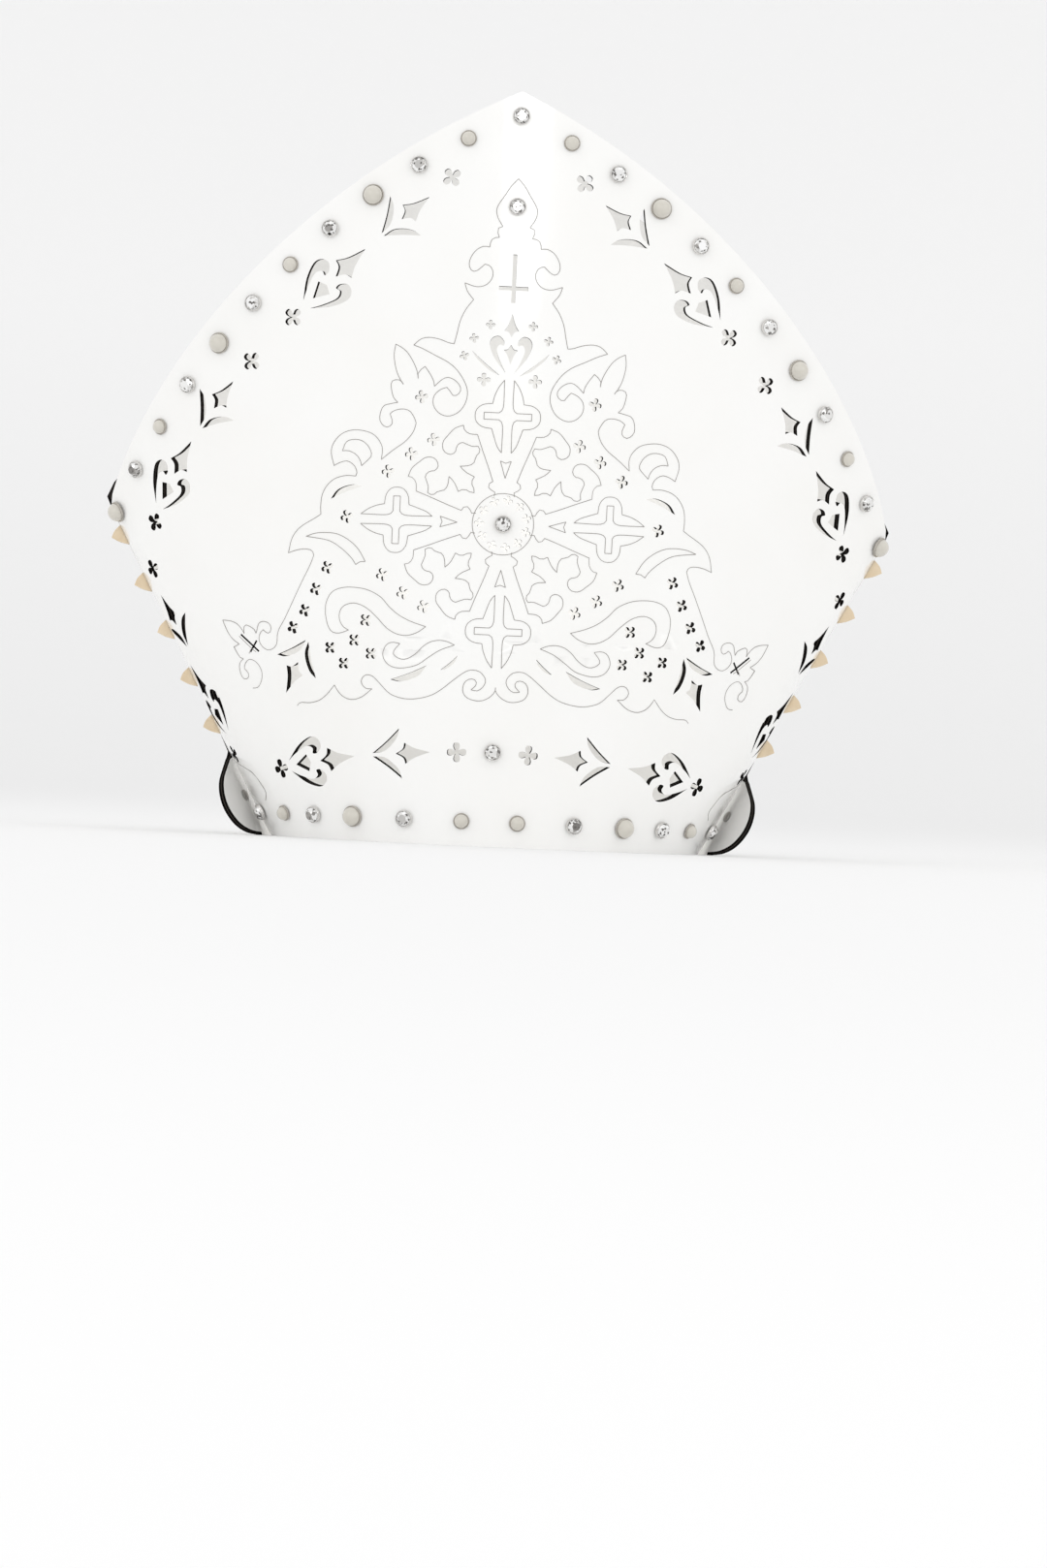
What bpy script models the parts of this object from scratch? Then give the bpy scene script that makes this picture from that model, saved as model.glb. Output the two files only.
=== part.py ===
"""Bishop's mitre of stiff patent leather: two tall leaves joined along side seams,
the front leaf pierced with a laser-cut pattern and studded with crystals and half pearls.

Metres, +Z up. The rim lies on z = 0 and the front faces -Y. The origin is below the middle
of the mitre's length and width, so the plane of the side seams lies a little in front of it.
A leaf is drawn flat, with "across" measured round the leaf and "up" as height,
and is then bent to its plan: a wide face arc, a tighter corner arc and a short straight side.
"""
import math

import bmesh
import bpy
from mathutils import Matrix, Vector

MM = 0.001

# Overall form
HEIGHT = 295 * MM
CORNER_HEIGHT = 127 * MM
RIM_HALF_WIDTH = 86.5 * MM
CORNER_HALF_WIDTH = 155 * MM
LEATHER = 2.6 * MM
FRONT_RIM_DEPTH = 74.5 * MM
FRONT_CROWN_DEPTH = 77 * MM
BACK_RIM_DEPTH = 104 * MM
BACK_CROWN_DEPTH = 88 * MM
FACE_RADIUS_RIM = 90 * MM
FACE_RADIUS_CORNER = 203 * MM
SIDE_RADIUS_RIM = 60 * MM
SIDE_RADIUS_CORNER = 17 * MM
LEAN_END = 90 * MM
EDGE_BULGE = 18 * MM
EDGE_SKEW = -0.15
EDGE_INSET = 1 * MM
CORNER_ROUND = 7 * MM
RIM_CORNER_ROUND = 8 * MM

# Seam comb with its pointed teeth
TOOTH_COUNT = 5
TOOTH_PITCH = 18.6 * MM
TOOTH_FIRST_HEIGHT = 43.6 * MM
TOOTH_BASE = 8.6 * MM
TOOTH_REACH = 5.2 * MM
COMB_THICKNESS = 1.4 * MM
SEAM_TOP = 122 * MM
SEAM_BOTTOM = 33 * MM
CLEARANCE = 0.3 * MM

# Tabs of the back leaf, which flare out past the front leaf
TAB_REACH = 21 * MM
TAB_FLARE = 13 * MM
TAB_ROOT = 15 * MM
TAB_FLARE_FADE = 4 * MM
TAB_RELIEF = 6 * MM
TAB_RELIEF_DROP = 5 * MM
RIVET_HEIGHT = 14.5 * MM
RIVET_FORWARD = 7 * MM
RIVET_HEAD_RADIUS = 2.3 * MM
RIVET_SHANK_RADIUS = 1.2 * MM
RIVET_HEAD_HEIGHT = 0.8 * MM

# Studs
CRYSTAL_RADIUS = 3.4 * MM
CRYSTAL_HEIGHT = 3.0 * MM
SMALL_PEARL_RADIUS = 3.2 * MM
LARGE_PEARL_RADIUS = 4.2 * MM
PEARL_RIM_WIDTH = 0.5 * MM
STUD_SIDES = 9
UPPER_STUD_COUNT = 12
RIM_STUD_HEIGHT = 9.6 * MM
RIM_STUDS = (
    # kind, across as a share of the way to the seam
    ("small_pearl", 0.084),
    ("crystal", 0.260),
    ("large_pearl", 0.434),
    ("crystal", 0.584),
    ("small_pearl", 0.724),
    ("crystal", 0.887),
)

# Where the plane of the seams lies, so that the origin is under the middle of the mitre
FRONT_EXTENT = FRONT_CROWN_DEPTH + CLEARANCE + CRYSTAL_HEIGHT
SEAM_PLANE = 0.5 * (FRONT_EXTENT - BACK_RIM_DEPTH)

# Cut motifs
BORDER_FOIL = 7.9 * MM
CHAIN_FOIL = 5.3 * MM
FOIL_PETAL = (
    # angle from the petal's axis in degrees, radius as a share of the foil's size
    (-20.0, 0.48),
    (20.0, 0.48),
    (45.0, 0.15),
)
CENTRE_FOIL = 5.4 * MM
ARROW_LENGTH = 23.5 * MM
ARROW_WIDTH = 18.4 * MM
FLEUR_LENGTH = 32 * MM
FLEUR_WIDTH = 20 * MM
LEG_ANGLE = 38.5
LEG_LENGTH_SHARE = 0.63
LEG_BELLY_SHARE = 0.155
LEG_GAP_SHARE = 0.035
ARROW_HEAD_WIDTH = 0.45
ARROW_HEAD_LENGTH = 0.59
ARROW_HEAD_START = -0.09
FLEUR_HEAD_WIDTH = 0.47
FLEUR_HEAD_LENGTH = 0.50
FLEUR_HEAD_START = 0.0
CROSS_LENGTH = 19 * MM
CROSS_SPAN = 11.5 * MM
CROSS_BAR = 1.6 * MM
CROSS_ARM_SHARE = 0.3
TOP_SPEAR_LENGTH = 9 * MM
TOP_SPEAR_WIDTH = 5.6 * MM
LOW_SPEAR_LENGTH = 7.8 * MM
LOW_SPEAR_WIDTH = 5.4 * MM
CENTRE_FLEUR_LENGTH = 26 * MM
CENTRE_FLEUR_WIDTH = 16.6 * MM
LEAF_CUT_LENGTH = 14.2 * MM
LEAF_CUT_WIDTH = 1.2 * MM

# Bends: how finely a leaf is creased to follow its curve
FACE_BEND = 15 * MM
SIDE_BEND = 7.5 * MM
FACE_SPAN = 105 * MM
LEVEL_SHARES = (0.04, 0.1, 0.2, 0.31, 0.45, 0.62, 0.8)

# Outlines of single cuts, as shares of the motif's width and length
SPEAR = (
    # across, along
    (0.0, 1.0),
    (0.5, 0.27),
    (0.21, 0.21),
    (0.0, 0.0),
    (-0.21, 0.21),
    (-0.5, 0.27),
)
CRESCENT = (
    # across, along
    (0.0, 0.0),
    (0.85, 0.25),
    (1.0, 0.52),
    (0.72, 0.8),
    (0.0, 1.0),
    (0.12, 0.5),
)
COMMA = (
    # across, along
    (0.10, 0.0),
    (0.37, 0.21),
    (0.50, 0.41),
    (0.44, 0.52),
    (0.29, 0.55),
    (0.17, 0.48),
    (0.17, 0.41),
    (0.27, 0.42),
    (0.33, 0.33),
    (0.22, 0.14),
)
KITE = (
    # across, along
    (0.0, 0.11),
    (0.17, 0.30),
    (0.0, 0.35),
    (-0.17, 0.30),
)

# Border rows: each runs from its start to its end with an arched middle.
# Across is a share of the leaf's half width at the corner, up is a share of the height.
BORDER_ROWS = (
    # row, start across, start up, end across, end up, arch, skew, motifs along the row
    ("upper", 0.8375, 0.4163, 0.1437, 0.8824, 7.5 * MM, 0.4,
     (("foil", 0.0), ("fleur", 0.118), ("arrow", 0.302), ("foil", 0.424),
      ("foil", 0.555), ("fleur", 0.680), ("arrow", 0.875), ("foil", 1.0))),
    ("side", 0.70, 0.108, 0.862, 0.354, 0.0 * MM, 0.0,
     (("foil", 0.0), ("fleur", 0.30), ("arrow", 0.72), ("foil", 1.0))),
    ("bottom", 0.509, 0.0915, 0.0774, 0.1234, 1.5 * MM, 0.0,
     (("foil", 0.0), ("fleur", 0.267), ("arrow", 0.718), ("foil", 1.0))),
)

# Small foils of the centre, mirrored left and right, in the same shares
CHAIN_FOILS = (
    # across, up, turn in degrees
    (0.192, 0.591, 10.0),
    (0.161, 0.535, 10.0),
    (0.209, 0.515, 10.0),
    (0.260, 0.491, 10.0),
    (0.350, 0.429, 20.0),
    (0.392, 0.361, 25.0),
    (0.418, 0.332, 25.0),
    (0.443, 0.303, 25.0),
    (0.469, 0.280, 25.0),
    (0.263, 0.354, 20.0),
    (0.215, 0.331, 20.0),
    (0.167, 0.314, 20.0),
    (0.297, 0.293, 40.0),
    (0.322, 0.266, 45.0),
)
CRESCENTS = (
    # across, up, turn in degrees, length, width
    (0.353, 0.461, -67.0, 13.6 * MM, 2.5 * MM),
    (0.195, 0.226, 113.0, 15.6 * MM, 2.8 * MM),
    (0.105, 0.241, 132.0, 8.6 * MM, 1.4 * MM),
)
CORNER_ARROW_PLACE = (0.455, 0.228, 153.0)
CROSS_PLACE_UP = 0.752
TOP_SPEAR_UP = 0.675
LOW_SPEAR_UP = 0.664
CENTRE_FLEUR_UP = 0.627
CENTRE_FOIL_PLACE = (0.057, 0.617, 0.0)
LEAF_CUT_PLACE = (0.054, 0.639, 50.7)
CENTRE_CRYSTALS = (
    # name, up
    ("crystal_finial", 0.847),
    ("crystal_rosette", 0.427),
    ("crystal_border", 0.125),
)
STUD_ROW_TOP = 0.967
STUD_ROW_END = 0.957
STUD_ROW_ARCH = 14.5 * MM
STUD_ROW_SKEW = 0.45

# Plan of the two leaves
LEAVES = {
    # turn, rim depth, crown depth
    "front": (1.0, FRONT_RIM_DEPTH, FRONT_CROWN_DEPTH),
    "back": (-1.0, BACK_RIM_DEPTH, BACK_CROWN_DEPTH),
}


def remove_everything():
    """Start from an empty file."""
    for item in list(bpy.data.objects):
        bpy.data.objects.remove(item, do_unlink=True)


def make_collection(name):
    """A collection for the mitre's pieces."""
    collection = bpy.data.collections.new(name)
    bpy.context.scene.collection.children.link(collection)
    return collection


def make_material(name, colour, roughness, metallic):
    """A plain Principled finish."""
    material = bpy.data.materials.new(name)
    material.use_nodes = True
    shader = material.node_tree.nodes["Principled BSDF"]
    shader.inputs["Base Color"].default_value = (*colour, 1.0)
    shader.inputs["Roughness"].default_value = roughness
    shader.inputs["Metallic"].default_value = metallic
    return material


def smooth_rise(start, end, height):
    """Share from 0 to 1 that fades in between two heights."""
    share = min(max((height - start) / (end - start), 0.0), 1.0)
    return share * share * (3.0 - 2.0 * share)


def plan(leaf, height):
    """Half width, face radius, side radius and depth of a leaf at a height."""
    _, rim_depth, crown_depth = LEAVES[leaf]
    share = height / CORNER_HEIGHT
    half_width = RIM_HALF_WIDTH + (CORNER_HALF_WIDTH - RIM_HALF_WIDTH) * share
    face = FACE_RADIUS_RIM + (FACE_RADIUS_CORNER - FACE_RADIUS_RIM) * share
    side = SIDE_RADIUS_RIM + (SIDE_RADIUS_CORNER - SIDE_RADIUS_RIM) * share
    side = max(side, 0.4 * SIDE_RADIUS_CORNER)
    depth = rim_depth + (crown_depth - rim_depth) * smooth_rise(0.0, LEAN_END, height)
    half_width = min(half_width, face)
    return half_width, face, side, depth


def plan_arcs(leaf, height):
    """The plan with the angle where the face arc meets the side arc, and the side arc's centre."""
    half_width, face, side, depth = plan(leaf, height)
    side = min(side, half_width * 0.95)
    ratio = min((half_width - side) / max(face - side, 0.01 * MM), 0.9999)
    meet = math.asin(ratio)
    centre = face - depth - (face - side) * math.cos(meet)
    return half_width, face, side, depth, meet, centre


def bent(leaf, across, height):
    """Point of the leaf's outer face, before the leaf is turned to its place."""
    half_width, face, side, depth, meet, centre = plan_arcs(leaf, height)
    reach = abs(across)
    face_length = face * meet
    side_length = side * (math.pi / 2.0 - meet)
    if reach <= face_length:
        angle = reach / face
        x = face * math.sin(angle)
        y = face - depth - face * math.cos(angle)
    elif reach <= face_length + side_length:
        angle = meet + (reach - face_length) / side
        x = half_width - side + side * math.sin(angle)
        y = centre - side * math.cos(angle)
    else:
        x = half_width
        y = centre + (reach - face_length - side_length)
    return Vector((math.copysign(x, across), y, height))


def seam_across(leaf, height):
    """How far across the leaf its seam lies, where it meets the plane between the leaves."""
    _, face, side, depth, meet, centre = plan_arcs(leaf, height)
    on_face = math.acos(max(min((face - depth) / face, 1.0), -1.0))
    if on_face <= meet:
        return face * on_face
    if centre > 0.0:
        return face * meet + side * (math.acos(min(centre / side, 1.0)) - meet)
    return face * meet + side * (math.pi / 2.0 - meet) - centre


HALF_LEAF = seam_across("front", CORNER_HEIGHT)


def flare(leaf, across, height):
    """Outward push of the back leaf's lower corners, where they form the tabs."""
    if leaf == "front":
        return 0.0
    start = seam_across(leaf, height) - TAB_ROOT
    share = max((abs(across) - start) / (TAB_ROOT + TAB_REACH), 0.0)
    fade = 1.0 - smooth_rise(SEAM_BOTTOM - TAB_FLARE_FADE, SEAM_BOTTOM + 0.5 * TAB_FLARE_FADE, height)
    return TAB_FLARE * share * share * fade


def directions(leaf, across, height):
    """Point, direction across, direction up and normal of the plain bent leaf."""
    step = 0.05 * MM
    point = bent(leaf, across, height)
    along = (bent(leaf, across + step, height) - bent(leaf, across - step, height)).normalized()
    rise = (bent(leaf, across, height + step) - bent(leaf, across, height - step)) / (2.0 * step)
    normal = along.cross(rise).normalized()
    return point, along, rise, normal


def surface(leaf, across, height):
    """Outer face of the leaf with its tab flare."""
    point, _, _, normal = directions(leaf, across, height)
    outward = Vector((normal.x, normal.y, 0.0)).normalized()
    return point + outward * flare(leaf, across, height)


def surface_normal(leaf, across, height):
    """Outward normal of the leaf with its tab flare."""
    step = 0.2 * MM
    along = surface(leaf, across + step, height) - surface(leaf, across - step, height)
    rise = surface(leaf, across, height + step) - surface(leaf, across, height - step)
    return along.cross(rise).normalized()


def turned(leaf, vector):
    """A direction on a leaf; the back leaf is drawn like the front and turned half round."""
    turn = LEAVES[leaf][0]
    return Vector((vector.x * turn, vector.y * turn, vector.z))


def placed(leaf, point):
    """A point of a leaf in the mitre's frame."""
    return turned(leaf, point) + Vector((0.0, SEAM_PLANE, 0.0))


def flat_place(centre, offset_across, offset_along, turn):
    """Flat coordinates of a motif's point, so that the motif isn't stretched by the bend."""
    across, height = centre
    right = offset_across * math.cos(turn) + offset_along * math.sin(turn)
    up = offset_along * math.cos(turn) - offset_across * math.sin(turn)
    _, along, rise, normal = directions("front", across, height)
    upward = normal.cross(along)
    lift = up / rise.dot(upward)
    return across + right - rise.dot(along) * lift, height + lift


def mirrored(points):
    """The same outline on the other side of the middle."""
    return [(-across, height) for across, height in reversed(points)]


def cut_outline(shape, width, length, centre, turn, start=0.0, side=1.0):
    """A cut from a table of shares, with its start at a distance along the motif's axis."""
    points = [
        flat_place(centre, side * across * width, start + along * length, turn)
        for across, along in shape
    ]
    return points if side > 0.0 else points[::-1]


def foil(centre, size, turn):
    """A quatrefoil: four round petals that meet in four notches."""
    points = []
    for petal in range(4):
        for angle, radius in FOIL_PETAL:
            theta = math.radians(90.0 * petal + angle)
            points.append(flat_place(centre, size * radius * math.cos(theta),
                                     size * radius * math.sin(theta), turn))
    return [points]


def arrow(centre, scale, turn):
    """A spear head in front of two crescent legs that meet at the tail."""
    length = ARROW_LENGTH * scale
    width = ARROW_WIDTH * scale
    cuts = [cut_outline(SPEAR, ARROW_HEAD_WIDTH * width, ARROW_HEAD_LENGTH * length, centre, turn,
                        ARROW_HEAD_START * length)]
    leg_turn = math.radians(LEG_ANGLE)
    for side in (-1.0, 1.0):
        points = []
        for belly, along in CRESCENT:
            run = along * LEG_LENGTH_SHARE * length
            swell = belly * LEG_BELLY_SHARE * width
            out = LEG_GAP_SHARE * width + run * math.sin(leg_turn) - swell * math.cos(leg_turn)
            forward = run * math.cos(leg_turn) + swell * math.sin(leg_turn)
            points.append(flat_place(centre, side * out, forward - 0.5 * length, turn))
        cuts.append(points if side > 0.0 else points[::-1])
    return cuts


def fleur(centre, scale, turn):
    """A spear head over two comma lobes with a small kite between them."""
    length = FLEUR_LENGTH * scale
    width = FLEUR_WIDTH * scale
    start = -0.5 * length
    cuts = [
        cut_outline(SPEAR, FLEUR_HEAD_WIDTH * width, FLEUR_HEAD_LENGTH * length, centre, turn,
                    FLEUR_HEAD_START * length),
        cut_outline(KITE, width, length, centre, turn, start),
    ]
    for side in (-1.0, 1.0):
        cuts.append(cut_outline(COMMA, width, length, centre, turn, start, side))
    return cuts


def arc_row(start, end, arch, share, skew=0.0):
    """Point and heading at a share of a shallow arc from start to end; a skew makes its start fuller."""
    first = Vector(start)
    chord = Vector(end) - first
    out = Vector((-chord.y, chord.x)).normalized()
    if out.y < 0.0:
        out = -out
    fuller = 1.0 + skew * (1.0 - 2.0 * share)
    point = first + chord * share + out * (arch * 4.0 * share * (1.0 - share) * fuller)
    heading = chord + out * (arch * 4.0 * (1.0 - 2.0 * share))
    return (point.x, point.y), math.atan2(heading.x, heading.y)


def border_cuts():
    """Both halves of the three border rows."""
    cuts = []
    for _, across0, up0, across1, up1, arch, skew, motifs in BORDER_ROWS:
        start = (across0 * HALF_LEAF, up0 * HEIGHT)
        end = (across1 * HALF_LEAF, up1 * HEIGHT)
        for kind, share in motifs:
            centre, heading = arc_row(start, end, arch, share, skew)
            if kind == "foil":
                found = foil(centre, BORDER_FOIL, heading)
            elif kind == "arrow":
                found = arrow(centre, 1.0, heading)
            else:
                found = fleur(centre, 1.0, heading)
            cuts += found
            cuts += [mirrored(points) for points in found]
    return cuts


def cross_cut():
    """The slot in the shape of an inverted cross."""
    half_bar = 0.5 * CROSS_BAR
    half_span = 0.5 * CROSS_SPAN
    half_length = 0.5 * CROSS_LENGTH
    arm = -half_length + CROSS_ARM_SHARE * CROSS_LENGTH
    corners = (
        (-half_bar, -half_length), (half_bar, -half_length),
        (half_bar, arm - half_bar), (half_span, arm - half_bar),
        (half_span, arm + half_bar), (half_bar, arm + half_bar),
        (half_bar, half_length), (-half_bar, half_length),
        (-half_bar, arm + half_bar), (-half_span, arm + half_bar),
        (-half_span, arm - half_bar), (-half_bar, arm - half_bar),
    )
    centre = (0.0, CROSS_PLACE_UP * HEIGHT)
    return [[flat_place(centre, across, up, 0.0) for across, up in corners]]


def place_of(place):
    """Flat centre and turn from a table's shares and degrees."""
    across, up, turn = place
    return (across * HALF_LEAF, up * HEIGHT), math.radians(turn)


def centre_cuts():
    """The cuts inside the border: foils, crescents, corner arrows, the cross and the centre fleur."""
    cuts = cross_cut()
    cuts.append(cut_outline(SPEAR, TOP_SPEAR_WIDTH, TOP_SPEAR_LENGTH, (0.0, TOP_SPEAR_UP * HEIGHT), 0.0))
    cuts.append(cut_outline(SPEAR, LOW_SPEAR_WIDTH, LOW_SPEAR_LENGTH, (0.0, LOW_SPEAR_UP * HEIGHT), math.pi))
    fleur_foot = (0.0, CENTRE_FLEUR_UP * HEIGHT)
    halves = [cut_outline(COMMA, CENTRE_FLEUR_WIDTH, CENTRE_FLEUR_LENGTH, fleur_foot, 0.0)]
    centre, turn = place_of(LEAF_CUT_PLACE)
    halves.append(cut_outline(CRESCENT, LEAF_CUT_WIDTH, LEAF_CUT_LENGTH, centre, turn, -0.5 * LEAF_CUT_LENGTH))
    centre, turn = place_of(CENTRE_FOIL_PLACE)
    halves += foil(centre, CENTRE_FOIL, turn)
    for place in CHAIN_FOILS:
        centre, turn = place_of(place)
        halves += foil(centre, CHAIN_FOIL, turn)
    for *place, length, width in CRESCENTS:
        centre, turn = place_of(place)
        halves.append(cut_outline(CRESCENT, width, length, centre, turn, -0.5 * length))
    centre, turn = place_of(CORNER_ARROW_PLACE)
    halves += arrow(centre, 1.0, turn)
    return cuts + halves + [mirrored(points) for points in halves]


def fillet(before, corner, after, radius, steps):
    """Round a corner of a flat outline with a short arc of points."""
    corner = Vector(corner)
    first = (Vector(before) - corner).normalized()
    last = (Vector(after) - corner).normalized()
    half = first.angle(last) / 2.0
    reach = radius / math.tan(half)
    start = corner + first * reach
    end = corner + last * reach
    points = []
    for step in range(steps + 1):
        share = step / steps
        middle = start.lerp(corner, share).lerp(corner.lerp(end, share), share)
        points.append((middle.x, middle.y))
    return points


def across_at(leaf, x, height):
    """How far across a leaf a place lies that is x away from the middle plane."""
    half_width, face, side, _, meet, _ = plan_arcs(leaf, height)
    if x <= face * math.sin(meet):
        return face * math.asin(x / face)
    return face * meet + side * (math.asin(min((x - half_width + side) / side, 1.0)) - meet)


def upper_edge(leaf, count):
    """Points of the curved free edge, from the corner up to the tip, without both ends.
    The back leaf is cut so that the front leaf hides it, seen from the front.
    """
    start = (seam_edge("front", CORNER_HEIGHT), CORNER_HEIGHT)
    points = [arc_row(start, (0.0, HEIGHT), EDGE_BULGE, step / count, EDGE_SKEW)[0]
              for step in range(1, count)]
    if leaf == "front":
        return points
    return [(across_at(leaf, bent("front", across, height).x - EDGE_INSET, height), height)
            for across, height in points]


def seam_edge(leaf, height):
    """The leaf's side edge, held off the seam comb by half its thickness and a clearance."""
    return seam_across(leaf, height) - 0.5 * COMB_THICKNESS - CLEARANCE


def front_half_outline():
    """Right half of the front leaf's outline, from the rim up to the tip."""
    rim_corner = (seam_across("front", 0.0) - TAB_RELIEF, 0.0)
    relief_top = SEAM_BOTTOM - TAB_RELIEF_DROP
    low_side = (seam_across("front", relief_top) - TAB_RELIEF, relief_top)
    points = fillet((0.0, 0.0), rim_corner, low_side, RIM_CORNER_ROUND, 3)
    points.append(low_side)
    points.append((seam_edge("front", SEAM_BOTTOM) - 0.4 * TAB_RELIEF, SEAM_BOTTOM - 0.3 * TAB_RELIEF_DROP))
    return points + seam_and_top("front")


def seam_and_top(leaf):
    """The seam edge, the rounded corner, the free upper edge and the tip."""
    points = []
    levels = 5
    for level in range(levels):
        height = SEAM_BOTTOM + (SEAM_TOP - SEAM_BOTTOM) * level / levels
        points.append((seam_edge(leaf, height), height))
    corner = (seam_edge(leaf, CORNER_HEIGHT), CORNER_HEIGHT)
    edge = upper_edge(leaf, 14)
    points += fillet(points[-1], corner, edge[0], CORNER_ROUND, 3)
    return points + edge[1:] + [(0.0, HEIGHT)]


def back_half_outline():
    """Right half of the back leaf's outline, with the rounded tab at its lower corner."""
    seam_low = seam_across("back", 0.0)
    shape = (
        # reach past the seam as a share, height as a share of the seam's foot
        (0.35, 0.0),
        (0.70, 0.03),
        (0.92, 0.12),
        (1.0, 0.28),
        (0.94, 0.46),
        (0.76, 0.63),
        (0.45, 0.78),
        (0.06, 0.92),
    )
    points = []
    for reach, up in shape:
        height = up * SEAM_BOTTOM
        points.append((seam_across("back", height) + reach * TAB_REACH, height))
    points[0] = (seam_low + shape[0][0] * TAB_REACH, 0.0)
    return points + seam_and_top("back")


def both_halves(half):
    """A closed outline from its right half, whose last point is on the middle."""
    return half + [(-across, height) for across, height in reversed(half[:-1])]


def round_hole(leaf_centre, radius, sides):
    """A round hole in the flat leaf."""
    across, height = leaf_centre
    return [
        (across + radius * math.cos(2.0 * math.pi * step / sides),
         height + radius * math.sin(2.0 * math.pi * step / sides))
        for step in range(sides)
    ]


def flat_mesh(name, outlines, thickness):
    """A filled flat outline with holes, made with a 2D curve, as a mesh."""
    curve = bpy.data.curves.new(name, "CURVE")
    curve.dimensions = "2D"
    curve.fill_mode = "BOTH"
    curve.extrude = 0.5 * thickness
    for outline in outlines:
        spline = curve.splines.new("POLY")
        spline.points.add(len(outline) - 1)
        for point, (x, y) in zip(spline.points, outline):
            point.co = (x, y, 0.0, 1.0)
        spline.use_cyclic_u = True
    holder = bpy.data.objects.new(name, curve)
    bpy.context.scene.collection.objects.link(holder)
    bpy.context.view_layer.update()
    evaluated = holder.evaluated_get(bpy.context.evaluated_depsgraph_get())
    mesh = bpy.data.meshes.new_from_object(evaluated)
    bpy.data.objects.remove(holder, do_unlink=True)
    bpy.data.curves.remove(curve)
    form = bmesh.new()
    form.from_mesh(mesh)
    bmesh.ops.remove_doubles(form, verts=form.verts, dist=0.001 * MM)
    form.to_mesh(mesh)
    form.free()
    return mesh


def crease(form, place, direction):
    """Divide the flat leaf along a line, so that it can bend there, and mark the line."""
    cut = bmesh.ops.bisect_plane(
        form,
        geom=form.verts[:] + form.edges[:] + form.faces[:],
        dist=0.002 * MM,
        plane_co=place,
        plane_no=direction,
    )
    for item in cut["geom_cut"]:
        if isinstance(item, bmesh.types.BMEdge):
            item.seam = True


def clear_fill(form):
    """Remove the fill's own edges between the creases, which would only add faces."""
    bmesh.ops.dissolve_limit(
        form,
        angle_limit=math.radians(0.5),
        use_dissolve_boundaries=False,
        verts=form.verts[:],
        edges=form.edges[:],
        delimit={"SEAM"},
    )


def bend_leaf(leaf, mesh):
    """Crease a flat leaf and lay it on its curved plan, with the wall's thickness inward."""
    form = bmesh.new()
    form.from_mesh(mesh)
    widest = max(abs(vertex.co.x) for vertex in form.verts)
    lines = [0.0]
    while lines[-1] < widest:
        lines.append(lines[-1] + (FACE_BEND if lines[-1] < FACE_SPAN else SIDE_BEND))
    for line in lines[:-1]:
        for side in ((1.0, -1.0) if line > 0.0 else (1.0,)):
            crease(form, (side * line, 0.0, 0.0), (1.0, 0.0, 0.0))
    for share in LEVEL_SHARES:
        crease(form, (0.0, share * HEIGHT, 0.0), (0.0, 1.0, 0.0))
    clear_fill(form)
    bmesh.ops.triangulate(form, faces=form.faces[:])
    for vertex in form.verts:
        across, height, layer = vertex.co
        on_rim = height < 0.001 * MM
        point = surface(leaf, across, height)
        if layer < 0.0:
            point = point - surface_normal(leaf, across, height) * LEATHER
        if on_rim:
            point.z = 0.0
        vertex.co = placed(leaf, point)
    form.to_mesh(mesh)
    form.free()
    return mesh


def add_object(name, mesh, material, collection):
    """A piece of the mitre with its own finish."""
    mesh.name = name
    mesh.materials.clear()
    mesh.materials.append(material)
    piece = bpy.data.objects.new(name, mesh)
    collection.objects.link(piece)
    return piece


def tab_place(side):
    """Flat place of a tab's rivet on the back leaf; the back leaf is turned, so sides swap."""
    return (-side * (seam_across("back", RIVET_HEIGHT) + RIVET_FORWARD), RIVET_HEIGHT)


def make_front_panel(material, collection):
    """The pierced front leaf."""
    outlines = [both_halves(front_half_outline())] + border_cuts() + centre_cuts()
    mesh = bend_leaf("front", flat_mesh("front_panel", outlines, LEATHER))
    return add_object("front_panel", mesh, material, collection)


def make_back_panel(material, collection):
    """The plain back leaf with a flared tab at each lower corner."""
    holes = [round_hole(tab_place(side), RIVET_SHANK_RADIUS + CLEARANCE, STUD_SIDES) for side in (-1.0, 1.0)]
    outlines = [both_halves(back_half_outline())] + holes
    mesh = bend_leaf("back", flat_mesh("back_panel", outlines, LEATHER))
    return add_object("back_panel", mesh, material, collection)


def tooth(position):
    """A pointed tooth of a comb, as distance along the seam and reach beyond it."""
    shape = ((-0.5, 0.0), (-0.2, 0.57), (0.145, 1.0), (0.37, 0.58), (0.5, 0.0))
    return [(position + along * TOOTH_BASE, reach * TOOTH_REACH) for along, reach in shape]


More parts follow.
